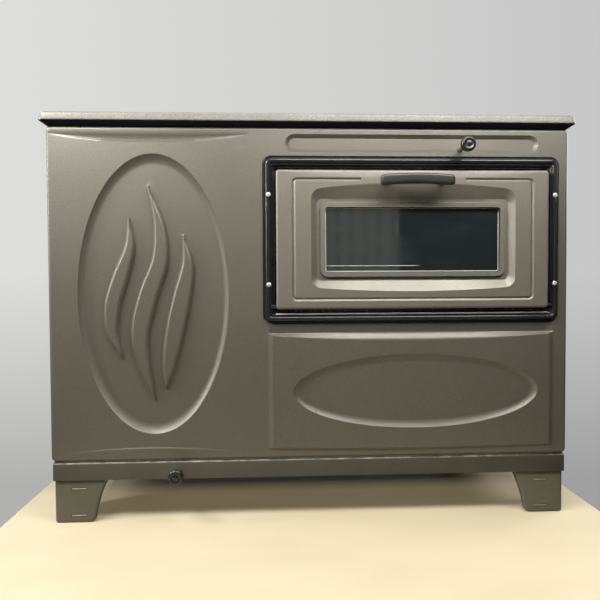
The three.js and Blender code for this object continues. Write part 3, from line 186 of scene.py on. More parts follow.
def spline(points, count):
    """A smooth line through points, as count points at even steps of its parameter."""
    p = np.array(points, float)
    p = np.concatenate([[2 * p[0] - p[1]], p, [2 * p[-1] - p[-2]]])
    spans = len(p) - 3
    result = []
    for share in np.linspace(0, spans, count):
        index = min(int(share), spans - 1)
        t = share - index
        a, b, c, d = p[index:index + 4]
        result.append(0.5 * (2 * b + (c - a) * t + (2 * a - 5 * b + 4 * c - d) * t ** 2
                             + (3 * b - a - 3 * c + d) * t ** 3))
    return np.array(result)


def inside_polygon(points, polygon):
    """Which points lie inside a closed polygon."""
    x, z = points[:, 0], points[:, 1]
    inside = np.zeros(len(points), bool)
    ends = np.roll(polygon, -1, axis=0)
    for (ax, az), (bx, bz) in zip(polygon, ends):
        crosses = (az > z) != (bz > z)
        span = bz - az if bz != az else 1e-9
        inside ^= crosses & (x < (bx - ax) * (z - az) / span + ax)
    return inside


# ------------------------------------------------------------------ meshes
def circle(side, up, segments):
    """A circle of radius 1 in the plane of two directions."""
    turns = full_turn(segments)[:, None]
    return np.cos(turns) * side + np.sin(turns) * up


class Form:
    """The points and faces of one piece, in millimetres."""

    def __init__(self):
        self.points = []
        self.faces = []

    def add(self, points):
        start = len(self.points)
        self.points.extend(tuple(map(float, p)) for p in points)
        return list(range(start, len(self.points)))

    def band(self, a, b):
        """Quads between two loops of equally many points."""
        for i in range(len(a)):
            j = (i + 1) % len(a)
            self.faces.append((a[i], a[j], b[j], b[i]))

    def loft(self, rings, closed=False, capped=True):
        """Bands through rings of points; closed joins the last ring to the first."""
        loops = [self.add(ring) for ring in rings]
        for a, b in zip(loops, loops[1:]):
            self.band(a, b)
        if closed:
            self.band(loops[-1], loops[0])
        elif capped:
            self.faces.append(tuple(reversed(loops[0])))
            self.faces.append(tuple(loops[-1]))
        return loops

    def lathe(self, profile, centre, axis, segments=48):
        """Turns (radius, way along the axis) pairs round an axis; a radius of 0 ends in a point."""
        centre = np.array(centre, float)
        along = np.eye(3)["xyz".index(axis)]
        side = np.eye(3)[("xyz".index(axis) + 1) % 3]
        unit = circle(side, np.cross(along, side), segments)
        loops = []
        for radius, way in profile:
            ring = radius * unit if radius else np.zeros((1, 3))
            loops.append(self.add(centre + way * along + ring))
        for a, b in zip(loops, loops[1:]):
            if len(a) == 1 or len(b) == 1:
                tip, ring = (a, b) if len(a) == 1 else (b, a)
                self.faces.extend((ring[i], ring[(i + 1) % len(ring)], tip[0]) for i in range(len(ring)))
            else:
                self.band(a, b)

    def tube(self, path, radius, segments=12):
        """A round wire along a path, capped at both ends."""
        path = np.array(path, float)
        rings = []
        along = np.gradient(path, axis=0)
        along /= np.linalg.norm(along, axis=1)[:, None]
        side = np.cross(along[0], [0.31, 0.57, 0.76])
        for point, direction in zip(path, along):
            side = side - direction * np.dot(side, direction)
            side /= np.linalg.norm(side)
            rings.append(point + radius * circle(side, np.cross(direction, side), segments))
        self.loft(rings)


def triangulate(loops, rings=(), extra=()):
    """Triangles that fill the first loop, leave the others open, and keep every ring as edges.
    The last result tells which of the given points each new point stands for."""
    points = []
    edges = []
    for ring in list(loops) + list(rings):
        start = len(points)
        count = len(ring)
        points.extend(ring)
        edges.extend((start + i, start + (i + 1) % count) for i in range(count))
    points.extend(extra)
    made = delaunay_2d_cdt([Vector(p) for p in points], edges, [], 0, 1e-5)
    flat = np.array([tuple(p) for p in made[0]])
    faces = np.array(made[2])
    middles = flat[faces].mean(axis=1)
    keep = inside_polygon(middles, np.array(loops[0]))
    for hole in loops[1:]:
        keep &= ~inside_polygon(middles, np.array(hole))
    return flat, faces[keep], made[3]


def put(name, data):
    """A new object in the scene."""
    thing = bpy.data.objects.new(name, data)
    bpy.context.scene.collection.objects.link(thing)
    return thing


def make(name, form, body="root", sharp=32, clean=True):
    """A smooth-shaded mesh object that rides on a body; edges steeper than sharp degrees stay crisp."""
    mesh = bpy.data.meshes.new(name)
    mesh.from_pydata([tuple(MM * c for c in p) for p in form.points], [], form.faces)
    if clean:
        work = bmesh.new()
        work.from_mesh(mesh)
        bmesh.ops.remove_doubles(work, verts=work.verts, dist=2e-6)
        bmesh.ops.recalc_face_normals(work, faces=work.faces)
        work.to_mesh(mesh)
        work.free()
    mesh.shade_smooth()
    mesh.set_sharp_from_angle(angle=math.radians(sharp))
    piece = put(name, mesh)
    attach(piece, body)
    return piece


def dress(piece, look, slot, *nodes):
    """Gives a piece its material and lets it stand for CAD nodes; the slot argument is not used."""
    piece.data.materials.clear()
    piece.data.materials.append(look)
    if nodes:
        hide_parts(*nodes)


def thicken(piece, thickness):
    """Gives an open sheet its thickness, on the inner side."""
    solid = piece.modifiers.new("thickness", "SOLIDIFY")
    solid.thickness = thickness * MM
    solid.offset = -1


def soften(piece, width):
    """Rounds the edges of a CAD node that is shown."""
    bevel = piece.modifiers.new("rounded_edges", "BEVEL")
    bevel.width = width * MM
    bevel.segments = 2
    bevel.limit_method = "ANGLE"
    bevel.angle_limit = math.radians(40)


def cut_box(piece, low, high, turn=0, axis="Y"):
    """Cuts a block out of a piece; the block may be turned about its middle."""
    low, high = np.array(low, float), np.array(high, float)
    mesh = bpy.data.meshes.new("cutter")
    work = bmesh.new()
    corners = bmesh.ops.create_cube(work, size=1)["verts"]
    bmesh.ops.scale(work, vec=(high - low) * MM, verts=corners)
    bmesh.ops.rotate(work, matrix=Matrix.Rotation(math.radians(turn), 3, axis), verts=corners)
    bmesh.ops.translate(work, vec=(low + high) / 2 * MM, verts=corners)
    work.to_mesh(mesh)
    work.free()
    tool = put("cutter", mesh)
    cut = piece.modifiers.new("cut", "BOOLEAN")
    cut.operation = "DIFFERENCE"
    cut.object = tool
    with bpy.context.temp_override(object=piece, active_object=piece):
        bpy.ops.object.modifier_apply(modifier="cut")
    bpy.data.objects.remove(tool)


def pressed_sheet(name, loops, rings, extra, depth, face, backs, body="root", shift=(0, 0), sharp=32):
    """A sheet pressed out of the flat: depth(x, z) says how far each point lies behind the face.
    backs gives, for the outline and then each hole, how far behind the face its edge is folded."""
    flat, faces, _ = triangulate(loops, rings, extra)
    form = Form()
    form.add(lay(flat + shift, "y", face + depth(flat[:, 0], flat[:, 1])))
    form.faces = [tuple(map(int, f)) for f in faces]
    sides = dict.fromkeys((f[i], f[(i + 1) % 3]) for f in form.faces for i in range(3))
    open_sides = [(a, b) for a, b in sides if (b, a) not in sides]
    outlines = [np.array(loop) for loop in loops]
    folded = {}
    for index in sorted({a for side in open_sides for a in side}):
        gaps = [np.abs(outline - flat[index]).sum(axis=1).min() for outline in outlines]
        x, _, z = form.points[index]
        folded[index] = form.add([(x, face + backs[int(np.argmin(gaps))], z)])[0]
    for a, b in open_sides:
        form.faces.append((b, a, folded[a], folded[b]))
    return make(name, form, body, sharp, clean=False)


# ------------------------------------------------------------------ node materials
def linear(red, green, blue):
    """A colour given as 0 to 255 on the screen, as the shader wants it."""
    parts = [v / 255 for v in (red, green, blue)]
    return tuple(v / 12.92 if v <= 0.04045 else ((v + 0.055) / 1.055) ** 2.4 for v in parts) + (1.0,)


def shade(colour, factor):
    return tuple(min(1.0, c * factor) for c in colour[:3]) + (1.0,)


class Look:
    """A node material round one Principled shader, with its patterns in the object's own space."""

    def __init__(self, name, colour, roughness, **sockets):
        self.material = bpy.data.materials.new(name)
        self.material.use_nodes = True
        self.tree = self.material.node_tree
        self.shader = self.tree.nodes["Principled BSDF"]
        self.shader.inputs["Base Color"].default_value = colour
        self.shader.inputs["Roughness"].default_value = roughness
        for key, value in sockets.items():
            self.shader.inputs[key.replace("_", " ").title().replace("Ior", "IOR")].default_value = value
        self.place = self.add("ShaderNodeTexCoord").outputs["Object"]

    def add(self, kind, **settings):
        node = self.tree.nodes.new(kind)
        for key, value in settings.items():
            setattr(node, key, value)
        return node

    def join(self, source, target):
        self.tree.links.new(source, target)

    def texture(self, kind, output, scale, **settings):
        """A pattern other than noise."""
        node = self.add(kind, **settings)
        node.inputs["Scale"].default_value = scale
        self.join(self.place, node.inputs["Vector"])
        return node.outputs[output]

    def noise(self, scale, detail, roughness=0.5, stretch=None):
        node = self.add("ShaderNodeTexNoise")
        node.inputs["Scale"].default_value = scale
        node.inputs["Detail"].default_value = detail
        node.inputs["Roughness"].default_value = roughness
        source = self.place
        if stretch:
            mapping = self.add("ShaderNodeMapping")
            mapping.inputs["Scale"].default_value = stretch
            self.join(self.place, mapping.inputs["Vector"])
            source = mapping.outputs["Vector"]
        self.join(source, node.inputs["Vector"])
        return node.outputs["Fac"]

    def range(self, value, low, high, new_low=0.0, new_high=1.0):
        node = self.add("ShaderNodeMapRange")
        self.join(value, node.inputs["Value"])
        for key, number in (("From Min", low), ("From Max", high), ("To Min", new_low), ("To Max", new_high)):
            node.inputs[key].default_value = number
        return node.outputs["Result"]

    def calculate(self, operation, a, b=0.0):
        node = self.add("ShaderNodeMath", operation=operation)
        for socket, value in zip(node.inputs, (a, b)):
            if isinstance(value, (int, float)):
                socket.default_value = value
            else:
                self.join(value, socket)
        return node.outputs["Value"]

    def coordinate(self, axis):
        node = self.add("ShaderNodeSeparateXYZ")
        self.join(self.place, node.inputs["Vector"])
        return node.outputs[axis]

    def blend(self, share, other, name="Base Color"):
        """Mixes a colour of the shader towards another by a share between 0 and 1."""
        node = self.add("ShaderNodeMix", data_type="RGBA")
        socket = self.shader.inputs[name]
        if socket.links:
            self.join(socket.links[0].from_socket, node.inputs[6])
        else:
            node.inputs[6].default_value = socket.default_value
        node.inputs[7].default_value = other
        self.join(share, node.inputs[0])
        self.join(node.outputs[2], socket)

    def speckle(self, value, low, high, share, other):
        """Mixes in another colour, up to a share, as a value runs from low to high."""
        self.blend(self.range(value, low, high, 0, share), other)

    def gloss(self, value, low, high):
        """Lets the roughness run from low to high as a value runs from 0 to 1."""
        self.join(self.range(value, 0, 1, low, high), self.shader.inputs["Roughness"])

    def glow(self, colour, share, *rays):
        """Shows a colour to the named kinds of ray alone, so it lights nothing."""
        path = self.add("ShaderNodeLightPath")
        seen = 0.0
        for ray in rays:
            seen = self.calculate("MAXIMUM", path.outputs[f"Is {ray} Ray"], seen)
        self.shader.inputs["Emission Color"].default_value = colour
        self.join(self.calculate("MULTIPLY", seen, share), self.shader.inputs["Emission Strength"])

    def bump(self, height, distance, strength=1.0):
        node = self.add("ShaderNodeBump")
        node.inputs["Strength"].default_value = strength
        node.inputs["Distance"].default_value = distance * MM
        self.join(height, node.inputs["Height"])
        socket = self.shader.inputs["Normal"]
        if socket.links:
            self.join(socket.links[0].from_socket, node.inputs["Normal"])
        self.join(node.outputs["Normal"], socket)


def paint_look(name, colour):
    """Grey-brown enamel: a satin skin with a fine grain, a little uneven in tone."""
    look = Look(name, colour, 0.5, specular_ior_level=0.9, metallic=0.35, coat_weight=0.28,
                coat_roughness=0.33)
    grain = look.noise(560, 3)
    cloud = look.noise(5, 4)
    look.speckle(grain, 0.52, 0.68, 0.45, shade(colour, 1.5))
    look.speckle(grain, 0.48, 0.34, 0.45, shade(colour, 0.6))
    look.speckle(cloud, 0.4, 0.7, 0.35, shade(colour, 0.86))
    look.gloss(look.range(cloud, 0.3, 0.7), 0.44, 0.54)
    look.bump(look.noise(520, 3), 0.28, 0.7)
    return look.material


def metal_look(name, colour, roughness, grain=700, uneven=0.25, metallic=1.0, specular=0.5):
    """Metal, bare, plated or painted, with a slightly uneven tone and a fine grain."""
    look = Look(name, colour, roughness, metallic=metallic, specular_ior_level=specular)
    cloud = look.noise(25, 4)
    look.speckle(cloud, 0.35, 0.7, 1, shade(colour, 1 - uneven))
    look.gloss(look.noise(grain, 3), roughness * 0.8, min(1.0, roughness * 1.3))
    look.bump(look.noise(grain, 2), 0.05, 0.4)
    return look.material


def pattern_look(name, colour, roughness, patterns, bump, gloss=None, **sockets):
    """A plain ground with noise patterns, each as (noise, low, high, share, colour); bump is (noise,
    distance, strength) and gloss is (noise, low, high), where noise lists the arguments of Look.noise."""
    look = Look(name, colour, roughness, **sockets)
    for noise, *blend in patterns:
        look.speckle(look.noise(*noise), *blend)
    noise, distance, strength = bump
    look.bump(look.noise(*noise), distance, strength)
    if gloss:
        noise, low, high = gloss
        look.gloss(look.noise(*noise), low, high)
    return look.material


def worn_look(name, colour, worn, top, wear):
    """Painted iron whose upper edge is rubbed down to a lighter tone."""
    look = Look(name, colour, 0.5, metallic=0.1)
    height = look.coordinate("Z")
    patches = look.noise(45, 5, 0.65)
    edge = look.range(height, (top - wear) * MM, (top - 0.4) * MM)
    rubbed = look.calculate("MULTIPLY", edge, look.range(patches, 0.42, 0.68))
    look.speckle(look.noise(900, 2), 0.55, 0.7, 0.4, shade(colour, 1.25))
    look.speckle(look.noise(18, 4), 0.45, 0.7, 0.4, shade(colour, 0.7))
    look.blend(rubbed, worn)
    look.bump(look.noise(500, 3), 0.12, 0.4)
    look.gloss(look.noise(60, 3), 0.38, 0.6)
    return look.material


def glass_look(view, middle):
    """Tinted oven glass with a pale pinstripe round its edge and one across its left half."""
    look = Look("oven_window_glass", linear(24, 29, 30), 0.04, specular_ior_level=0.6)
    smear = look.noise(14, 4, 0.6, (1, 1, 3))
    look.speckle(smear, 0.5, 0.75, 0.5, linear(38, 43, 44))
    corner, inset, line = 3.0, 1.6, 0.55
    bar_level, bar_line, bar_end, bar_strength = 0.8, 0.45, 0.1, 0.8

    def past(axis, way):
        """How far a point lies past the straight sides of the ring's rounded corners."""
        away = look.calculate("ABSOLUTE", look.calculate("SUBTRACT", look.coordinate(axis), middle[way] * MM))
        return look.calculate("SUBTRACT", away, (view[way] - inset - corner) * MM)

    past_x, past_z = past("X", 0), past("Z", 1)
    squares = [look.calculate("POWER", look.calculate("MAXIMUM", way), 2.0) for way in (past_x, past_z)]
    outside = look.calculate("SQRT", look.calculate("ADD", *squares))
    inside = look.calculate("MINIMUM", look.calculate("MAXIMUM", past_x, past_z))
    edge = look.calculate("SUBTRACT", look.calculate("ADD", outside, inside), corner * MM)
    ring = look.range(look.calculate("ABSOLUTE", edge), line * MM, line * 0.8 * MM)
    level = look.calculate("SUBTRACT", look.coordinate("Z"), (middle[1] - view[1] * bar_level) * MM)
    bar = look.range(look.calculate("ABSOLUTE", level), bar_line * MM, (bar_line - 0.1) * MM)
    left = look.range(look.coordinate("X"), (middle[0] + view[0] * bar_end) * MM, middle[0] * MM)
    bar = look.calculate("MULTIPLY", look.calculate("MULTIPLY", bar, left), look.range(edge, 0.0, -MM))
    stripes = look.calculate("MAXIMUM", ring, look.calculate("MULTIPLY", bar, bar_strength))
    look.blend(stripes, linear(214, 212, 203))
    look.gloss(look.range(smear, 0.4, 0.7), 0.03, 0.1)
    return look.material


def zinc_look():
    look = Look("zinc_sheet", linear(150, 152, 152), 0.42, metallic=0.85)
    cells = look.texture("ShaderNodeTexVoronoi", "Distance", 90)
    look.speckle(cells, 0.2, 0.7, 0.4, linear(112, 114, 116))
    look.bump(look.noise(700, 2), 0.05, 0.4)
    return look.material


paint = paint_look("enamel_paint", linear(90, 86, 74))
door_paint = paint_look("door_enamel_paint", linear(106, 102, 90))
frame_metal = metal_look("frame_black_gloss", linear(32, 32, 33), 0.2, grain=40, uneven=0.2, metallic=0.0)
collar_metal = metal_look("collar_blued", linear(31, 34, 50), 0.55, uneven=0.2, metallic=0.0, specular=0.12)
bright_steel = metal_look("bright_steel", linear(168, 166, 162), 0.3)
screw_steel = metal_look("screw_steel", linear(208, 207, 204), 0.42, uneven=0.15, metallic=0.5)
cast_iron = pattern_look("cast_iron", linear(52, 50, 48), 0.6,
                         [((60, 5), 0.45, 0.7, 0.7, linear(70, 62, 54))],
                         ((500, 4), 0.35, 0.5), ((180, 4), 0.5, 0.75), metallic=0.35)
plate_metal = pattern_look("cooktop_metal", linear(120, 116, 108), 0.5,
                           [((700, 3), 0.55, 0.68, 0.7, linear(160, 155, 147)),
                            ((700, 3), 0.45, 0.32, 0.8, linear(62, 58, 53)),
                            ((9, 4), 0.45, 0.75, 0.35, linear(92, 87, 79))],
                           ((800, 2), 0.08, 0.4), ((120, 3), 0.34, 0.52), metallic=0.25)
rail_top = box_of("front_rail")[1][2]
rail_paint = worn_look("rail_paint", linear(70, 67, 56), linear(142, 136, 120), rail_top, 2.6)
leg_colour = linear(85, 81, 68)
leg_paint = pattern_look("leg_paint", leg_colour, 0.5,
                         [((1200, 2), 0.55, 0.7, 0.4, shade(leg_colour, 1.25)),
                          ((22, 4), 0.45, 0.75, 0.5, shade(leg_colour, 0.75))], ((450, 3), 0.15, 0.4))
# painted highlight: a pale colour for the bars in the legs' slots, standing for the light caught by the
# slots' upward-facing lower walls
slot_highlight_paint = metal_look("leg_slot_painted_highlight", linear(150, 144, 126), 0.45, grain=400, uneven=0.2, metallic=0.1)
knob_metal = metal_look("knob_black", linear(33, 32, 33), 0.22, grain=500, uneven=0.2, metallic=0.0)
handle_metal = metal_look("handle_black", linear(42, 41, 38), 0.34, grain=500, metallic=0.0)
oven_enamel = pattern_look("oven_enamel", linear(34, 36, 40), 0.22,
                           [((420, 2), 0.62, 0.66, 0.8, linear(120, 122, 126))],
                           ((90, 2), 0.2, 0.2), coat_weight=0.3)
rope = pattern_look("seal_rope", linear(70, 68, 64), 0.95,
                    [((1600, 2), 0.45, 0.6, 0.6, linear(104, 100, 92))],
                    ((1300, 2, 0.5, (1, 1, 0.4)), 0.5, 0.8))
zinc = zinc_look()


# ------------------------------------------------------------------ front panel
half_width = (panel_high[0] - panel_low[0]) / 2
panel_height = panel_high[2] - panel_low[2]
frame_low, frame_high = box_of("oven_frame")
frame_box = [frame_low[0] - panel_middle, frame_high[0] - panel_middle,
             frame_low[2] - panel_bottom, frame_high[2] - panel_bottom]
panel_box = [-half_width, half_width, 0, panel_height]
recess_box = [long_recess[key] for key in ("x0", "x1", "z0", "z1")]
recess_corner = (long_recess["z1"] - long_recess["z0"]) / 2
frame_corner = 13.0
frame_band = 14.5


def edge_round(distance, radius):
    """How far a rounded edge has dropped at a distance inside the outline."""
    reach = np.clip(radius - distance, 0, radius)
    return radius - np.sqrt(np.maximum(radius ** 2 - reach ** 2, 0))


def oval_share(x, z, oval):
    """0 on an oval's outer edge and 1 on the inner edge of its band; beyond 1 on its floor."""
    outer = np.hypot((x - oval["x"]) / oval["rx"], (z - oval["z"]) / oval["rz"])
    inner = np.hypot((x - oval["x"]) / (oval["rx"] - oval["band_x"]),
                     (z - oval["z"]) / (oval["rz"] - oval["band_z"]))
    before, after = 1 - outer, inner - 1
    share = np.where(after > 0, before / np.maximum(before + after, 1e-9), 1)
    return np.clip(np.where(outer > 1, 0, share), 0, 1)


def field_share(x, z):
    """0 round the raised field and 1 on top of it; its upper slope widens towards the middle."""
    arc = bow(x, field["x0"], field["x1"])
    upper = (field["z1"] - z) / (field["slope"] + field["sag"] * arc)
    lower = ease((z - field["z0"] + field["arch"] * arc) / field["slope"])
    left = ease((x - field["x0"]) / field["side"])
    right = ease((field["x1"] - x) / field["side"])
    return np.clip(np.minimum.reduce([upper, lower, left, right]), 0, 1)


def scoop_depth(x, z, scoop):
    """A dip that falls off at its straight crease and ends in a short wall at its arc."""
    arc = bow(x, scoop["x0"], scoop["x1"])
    side = math.copysign(1, scoop["sag"])
    width = np.maximum(abs(scoop["sag"]) * arc, 1e-6)
    way = side * (z - scoop["z"])
    falling = settle(way / width)
    rising = np.clip((width + scoop["wall"] - way) / scoop["wall"], 0, 1)
    return np.where((way > 0) & (arc > 0), scoop["depth"] * arc * falling * ease(rising), 0)


flame_lines = []
for flame in flames:
    spine = spline([(tall_oval["x"] + x, tall_oval["z"] + z) for x, z in flame["spine"]], 160)
    shares = np.linspace(0, 1, len(spine))
    swell = np.sin(math.pi * shares ** 1.1) ** 0.8
    flame_lines.append((spine, flame_tip + (flame["width"] / 2 - flame_tip) * swell))


def flame_rise(x, z):
    """Tongues of fire that stand up from the tall oval's floor."""
    rise = np.zeros(len(x))
    near = np.flatnonzero((np.abs(x - tall_oval["x"]) < flame_reach["x"])
                          & (np.abs(z - tall_oval["z"]) < flame_reach["z"]))
    for spine, half_widths in flame_lines:
        reach = np.full(len(near), -1e3)
        for (sx, sz), half_width_here in zip(spine, half_widths):
            reach = np.maximum(reach, half_width_here - np.hypot(x[near] - sx, z[near] - sz))
        rise[near] = np.maximum(rise[near], flame_height * settle(reach / flame_slope))
    return rise


def flame_rings():
    """The flames' outlines at several steps up their slopes."""
    rings = []
    for spine, half_widths in flame_lines:
        along = np.gradient(spine, axis=0)
        normal = np.stack([-along[:, 1], along[:, 0]], axis=1)
        normal /= np.linalg.norm(normal, axis=1)[:, None]
        for share in (-0.1, 0, 0.12, 0.3, 0.55, 0.8, 1):
            reach = np.maximum(half_widths - share * flame_slope, 0.25)[:, None]
            rings.append(np.concatenate([spine + normal * reach, (spine - normal * reach)[::-1]]))
    return rings


def waves(x, z, distance, calm):
    """The faint unevenness of pressed sheet, which fades out over a calm strip along its edge."""
    swell = 0.16 * np.sin(x / 61 + 0.7) * np.sin(z / 73 + 1.9) + 0.1 * np.sin(x / 27 + z / 39)
    return ease(distance / calm) * swell


def panel_depth(x, z):
    distance = -box_distance(x, z, *panel_box, panel_corner)
    depth = edge_round(distance, panel_edge) + waves(x, z, distance - panel_edge, 25)
    depth -= field_rise * field_share(x, z)
    beside = ease((x - field["x0"]) / field_dip["fade"]) * ease((field["x1"] - x) / field_dip["fade"])
    above = (z - field["z1"]) / field_dip["width"]
    below = (field["z1"] - z) / (field["slope"] + field["sag"] * bow(x, field["x0"], field["x1"]))
    depth += field_dip["depth"] * beside * np.where(above > 0, ease(1 - above), np.clip(1 - below, 0, 1))
    tall = oval_share(x, z, tall_oval)
    depth += tall_oval["depth"] * settle(tall) - np.where(tall >= 1, flame_rise(x, z), 0)
    depth += wide_oval["depth"] * settle(oval_share(x, z, wide_oval))
    recessed = -box_distance(x, z, *recess_box, recess_corner)
    depth += long_recess["depth"] * np.clip(recessed / long_recess["slope"], 0, 1)
    for scoop in (upper_scoop, lower_scoop):
        depth += scoop_depth(x, z, scoop)
    step = -box_distance(x, z, *grown(frame_box, frame_step["margin"]), frame_corner + frame_step["margin"])
    depth += frame_step["depth"] * ease(step / frame_step["wall"])
    away = np.hypot(x - dent["x"], z - dent["z"]) / dent["radius"]
    return depth + dent["depth"] * ease(1 - away)


def oval_rings(oval):
    return [ellipse(oval["x"], oval["z"], oval["rx"] - share * oval["band_x"],
                    oval["rz"] - share * oval["band_z"], 220)
            for share in (-0.12, -0.03, 0, 0.03, 0.1, 0.2, 0.32, 0.46, 0.6, 0.75, 0.9, 1, 1.12)]


def field_rings():
    rings = []
    side = np.linspace(0, 1, 14)[1:-1]
    for share in (-0.15, 0, 0.25, 0.5, 0.75, 1, 1.2):
        inset = share * field["slope"]
        x = np.linspace(field["x0"] + share * field["side"], field["x1"] - share * field["side"], 90)
        arc = bow(x, field["x0"], field["x1"])
        low = field["z0"] + inset - field["arch"] * arc
        high = field["z1"] - inset - share * field["sag"] * arc
        right = pairs(x[-1], low[-1] + (high[-1] - low[-1]) * side)
        left = pairs(x[0], high[0] + (low[0] - high[0]) * side)
        rings.append(np.concatenate([pairs(x, low), right, pairs(x, high)[::-1], left]))
    return rings


def scoop_rings(scoop):
    rings = []
    x = np.linspace(scoop["x0"] + 1, scoop["x1"] - 1, 90)
    arc = bow(x, scoop["x0"], scoop["x1"])
    side = math.copysign(1, scoop["sag"])
    for share, grow in ((0.25, 0), (0.5, 0), (0.75, 0), (0.93, 0), (1, 0), (1, 0.5), (1, 1), (1, 1.6)):
        line = scoop["z"] + side * (share * abs(scoop["sag"]) * arc + grow * scoop["wall"])
        rings.append(np.concatenate([pairs(x, float(scoop["z"])), pairs(x, line)[::-1]]))
    return rings


def recess_rings():
    return [rim(recess_box, inset, recess_corner - inset - 0.05, 14, 30)
            for inset in (-0.5, 0, 0.5, 3, 5.5, 6, 6.6)]


def lattice(x0, x1, z0, z1, pitch, keep):
    """Points in staggered rows over a rectangle, where keep says so."""
    rows = np.arange(z0, z1, pitch * 0.87)
    points = []
    for number, z in enumerate(rows):
        x = np.arange(x0 + (number % 2) * pitch / 2, x1, pitch)
        points.append(pairs(x, z))
    points = np.concatenate(points)
    return points[keep(points[:, 0], points[:, 1])]


def build_front_panel():
    outline = rim(panel_box, 0, panel_corner, 8, 40)
    hole = rim(frame_box, frame_band - oven_hole_margin, 6, 6, 20)
    knob_middle = round_of("damper_knob")[2]
    rod = (knob_middle[0] - panel_middle, knob_middle[2] - panel_bottom)
    rod_hole = ellipse(*rod, rod_bore, rod_bore, 28)
    rings = nested(panel_box, panel_corner, (0.35, 1, 1.8, 2.8, 3.9, 5, 5.8), 2.4, 8, 40)
    rings += oval_rings(tall_oval) + oval_rings(wide_oval) + field_rings() + recess_rings()
    rings += scoop_rings(upper_scoop) + scoop_rings(lower_scoop) + flame_rings()
    rings += nested(frame_box, frame_corner, [inset - frame_step["margin"] for inset in (
        -0.5, 0, 0.3, 0.7, 1, 1.6)])
    rings.append(ellipse(*rod, rod_bore + 1.4, rod_bore + 1.4, 28))
    for share in (0.3, 0.6, 1):
        reach = dent["radius"] * share
        rings.append(ellipse(dent["x"], dent["z"], reach, reach, 20))

    def clear(x, z):
        keep = -box_distance(x, z, *panel_box, panel_corner) > 8
        keep &= box_distance(x, z, *grown(frame_box, frame_step["margin"]), frame_corner) > 3
        return keep & (flame_rise(x, z) <= 0)

    def by_a_flame(x, z):
        return sum(flame_rise(x + dx, z + dz) for dx, dz in ((0, 0), (3, 0), (-3, 0), (0, 3), (0, -3))) > 0

    zone = [tall_oval["x"] - flame_zone["left"], tall_oval["x"] + flame_zone["right"],
            tall_oval["z"] - flame_zone["z"], tall_oval["z"] + flame_zone["z"]]
    extra = np.concatenate([lattice(*zone, 3.5, by_a_flame), lattice(*panel_box, 13, clear)])
    fold = panel_high[1] - face_y
    skin = pressed_sheet("front_panel_skin", [outline, hole, rod_hole], rings, extra, panel_depth, face_y,
                         [fold, 9.0, 4.0], shift=(panel_middle, panel_bottom), sharp=38)
    thicken(skin, sheet)
    dress(skin, paint, "paint", "front_panel")


build_front_panel()


# ------------------------------------------------------------------ oven door
door_low, door_high = box_of("oven_door_skin")
door_half = [(door_high[0] - door_low[0]) / 2, (door_high[2] - door_low[2]) / 2]
door_middle = [(door_high[0] + door_low[0]) / 2, (door_high[2] + door_low[2]) / 2]
door_face = door_low[1]
door_corner = 5.0
door_edge = 4.0
glass_low, glass_high = box_of("oven_glass")
window_half = [149.25, 54.5]
window_corner = 5.0
trim = {"border": 9.0, "height": 4.0, "bevel": 1.6}
recess = {"depth": 9.0, "foot_x": 163.25, "foot_z": 68.5, "foot_corner": 8.0,
          "mouth_x": 173.05, "low_corner": 79.8, "low_middle": 86.8, "high_corner": 83.5, "high_middle": 94.3,
          "mouth_corner": 16.0}
groove = {"x": 29.0, "z": 16.5, "corner": 6.0, "width": 6.4, "depth": 2.2, "gap": 178.0}
crown = {"depth": 1.4, "drop": 10.0, "reach": door_half[0] - 24, "edge": 4.0}
door_box = middle_box(*door_half)
window_box = middle_box(*window_half)
foot_box = middle_box(recess["foot_x"], recess["foot_z"])
groove_box = middle_box(door_half[0] - groove["x"], door_half[1] - groove["z"])


def mouth_edges(x):
    """The lower and the upper edge of the window recess's arched mouth."""
    arc = bow(x, -recess["mouth_x"], recess["mouth_x"])
    return (-recess["low_corner"] - (recess["low_middle"] - recess["low_corner"]) * arc,
            recess["high_corner"] + (recess["high_middle"] - recess["high_corner"]) * arc)


def mouth_distance(x, z):
    """Signed distance to the mouth, negative inside it."""
    return box_distance(x, z, -recess["mouth_x"], recess["mouth_x"], *mouth_edges(x), recess["mouth_corner"])


def mouth_ring(inset):
    """The mouth's outline, drawn in by an inset, with extra points along its four sides."""
    half = recess["mouth_x"] - inset
    corner = max(recess["mouth_corner"] - inset, 3)
    points = []
    for sx, sz, start in ((1, -1, -90), (1, 1, 0), (-1, 1, 90), (-1, -1, 180)):
        for turn in np.radians(start) + np.linspace(0, math.pi / 2, 9):
            x = sx * (half - corner) + corner * math.cos(turn)
            low, high = mouth_edges(x)
            edge = (high if sz > 0 else -low) - inset
            points.append((x, sz * (edge - corner) + corner * math.sin(turn)))
    result = []
    for (ax, az), (bx, bz) in zip(points, points[1:] + points[:1]):
        result.append((ax, az))
        if abs(bx - ax) > 50:
            x = np.linspace(ax, bx, 60)[1:-1]
            low, high = mouth_edges(x)
            result.extend(zip(x, high - inset if az > 0 else low + inset))
        elif abs(bz - az) > 30:
            result.extend((ax, z) for z in np.linspace(az, bz, 14)[1:-1])
    return np.array(result)


def foot_distance(x, z):
    return box_distance(x, z, *foot_box, recess["foot_corner"])


def groove_depth(x, z):
    away = np.abs(box_distance(x, z, *groove_box, groove["corner"]))
    dip = groove["depth"] * np.clip(1 - away / (groove["width"] / 2), 0, 1)
    return np.where((z > 0) & (np.abs(x) < groove["gap"] / 2), 0, dip)


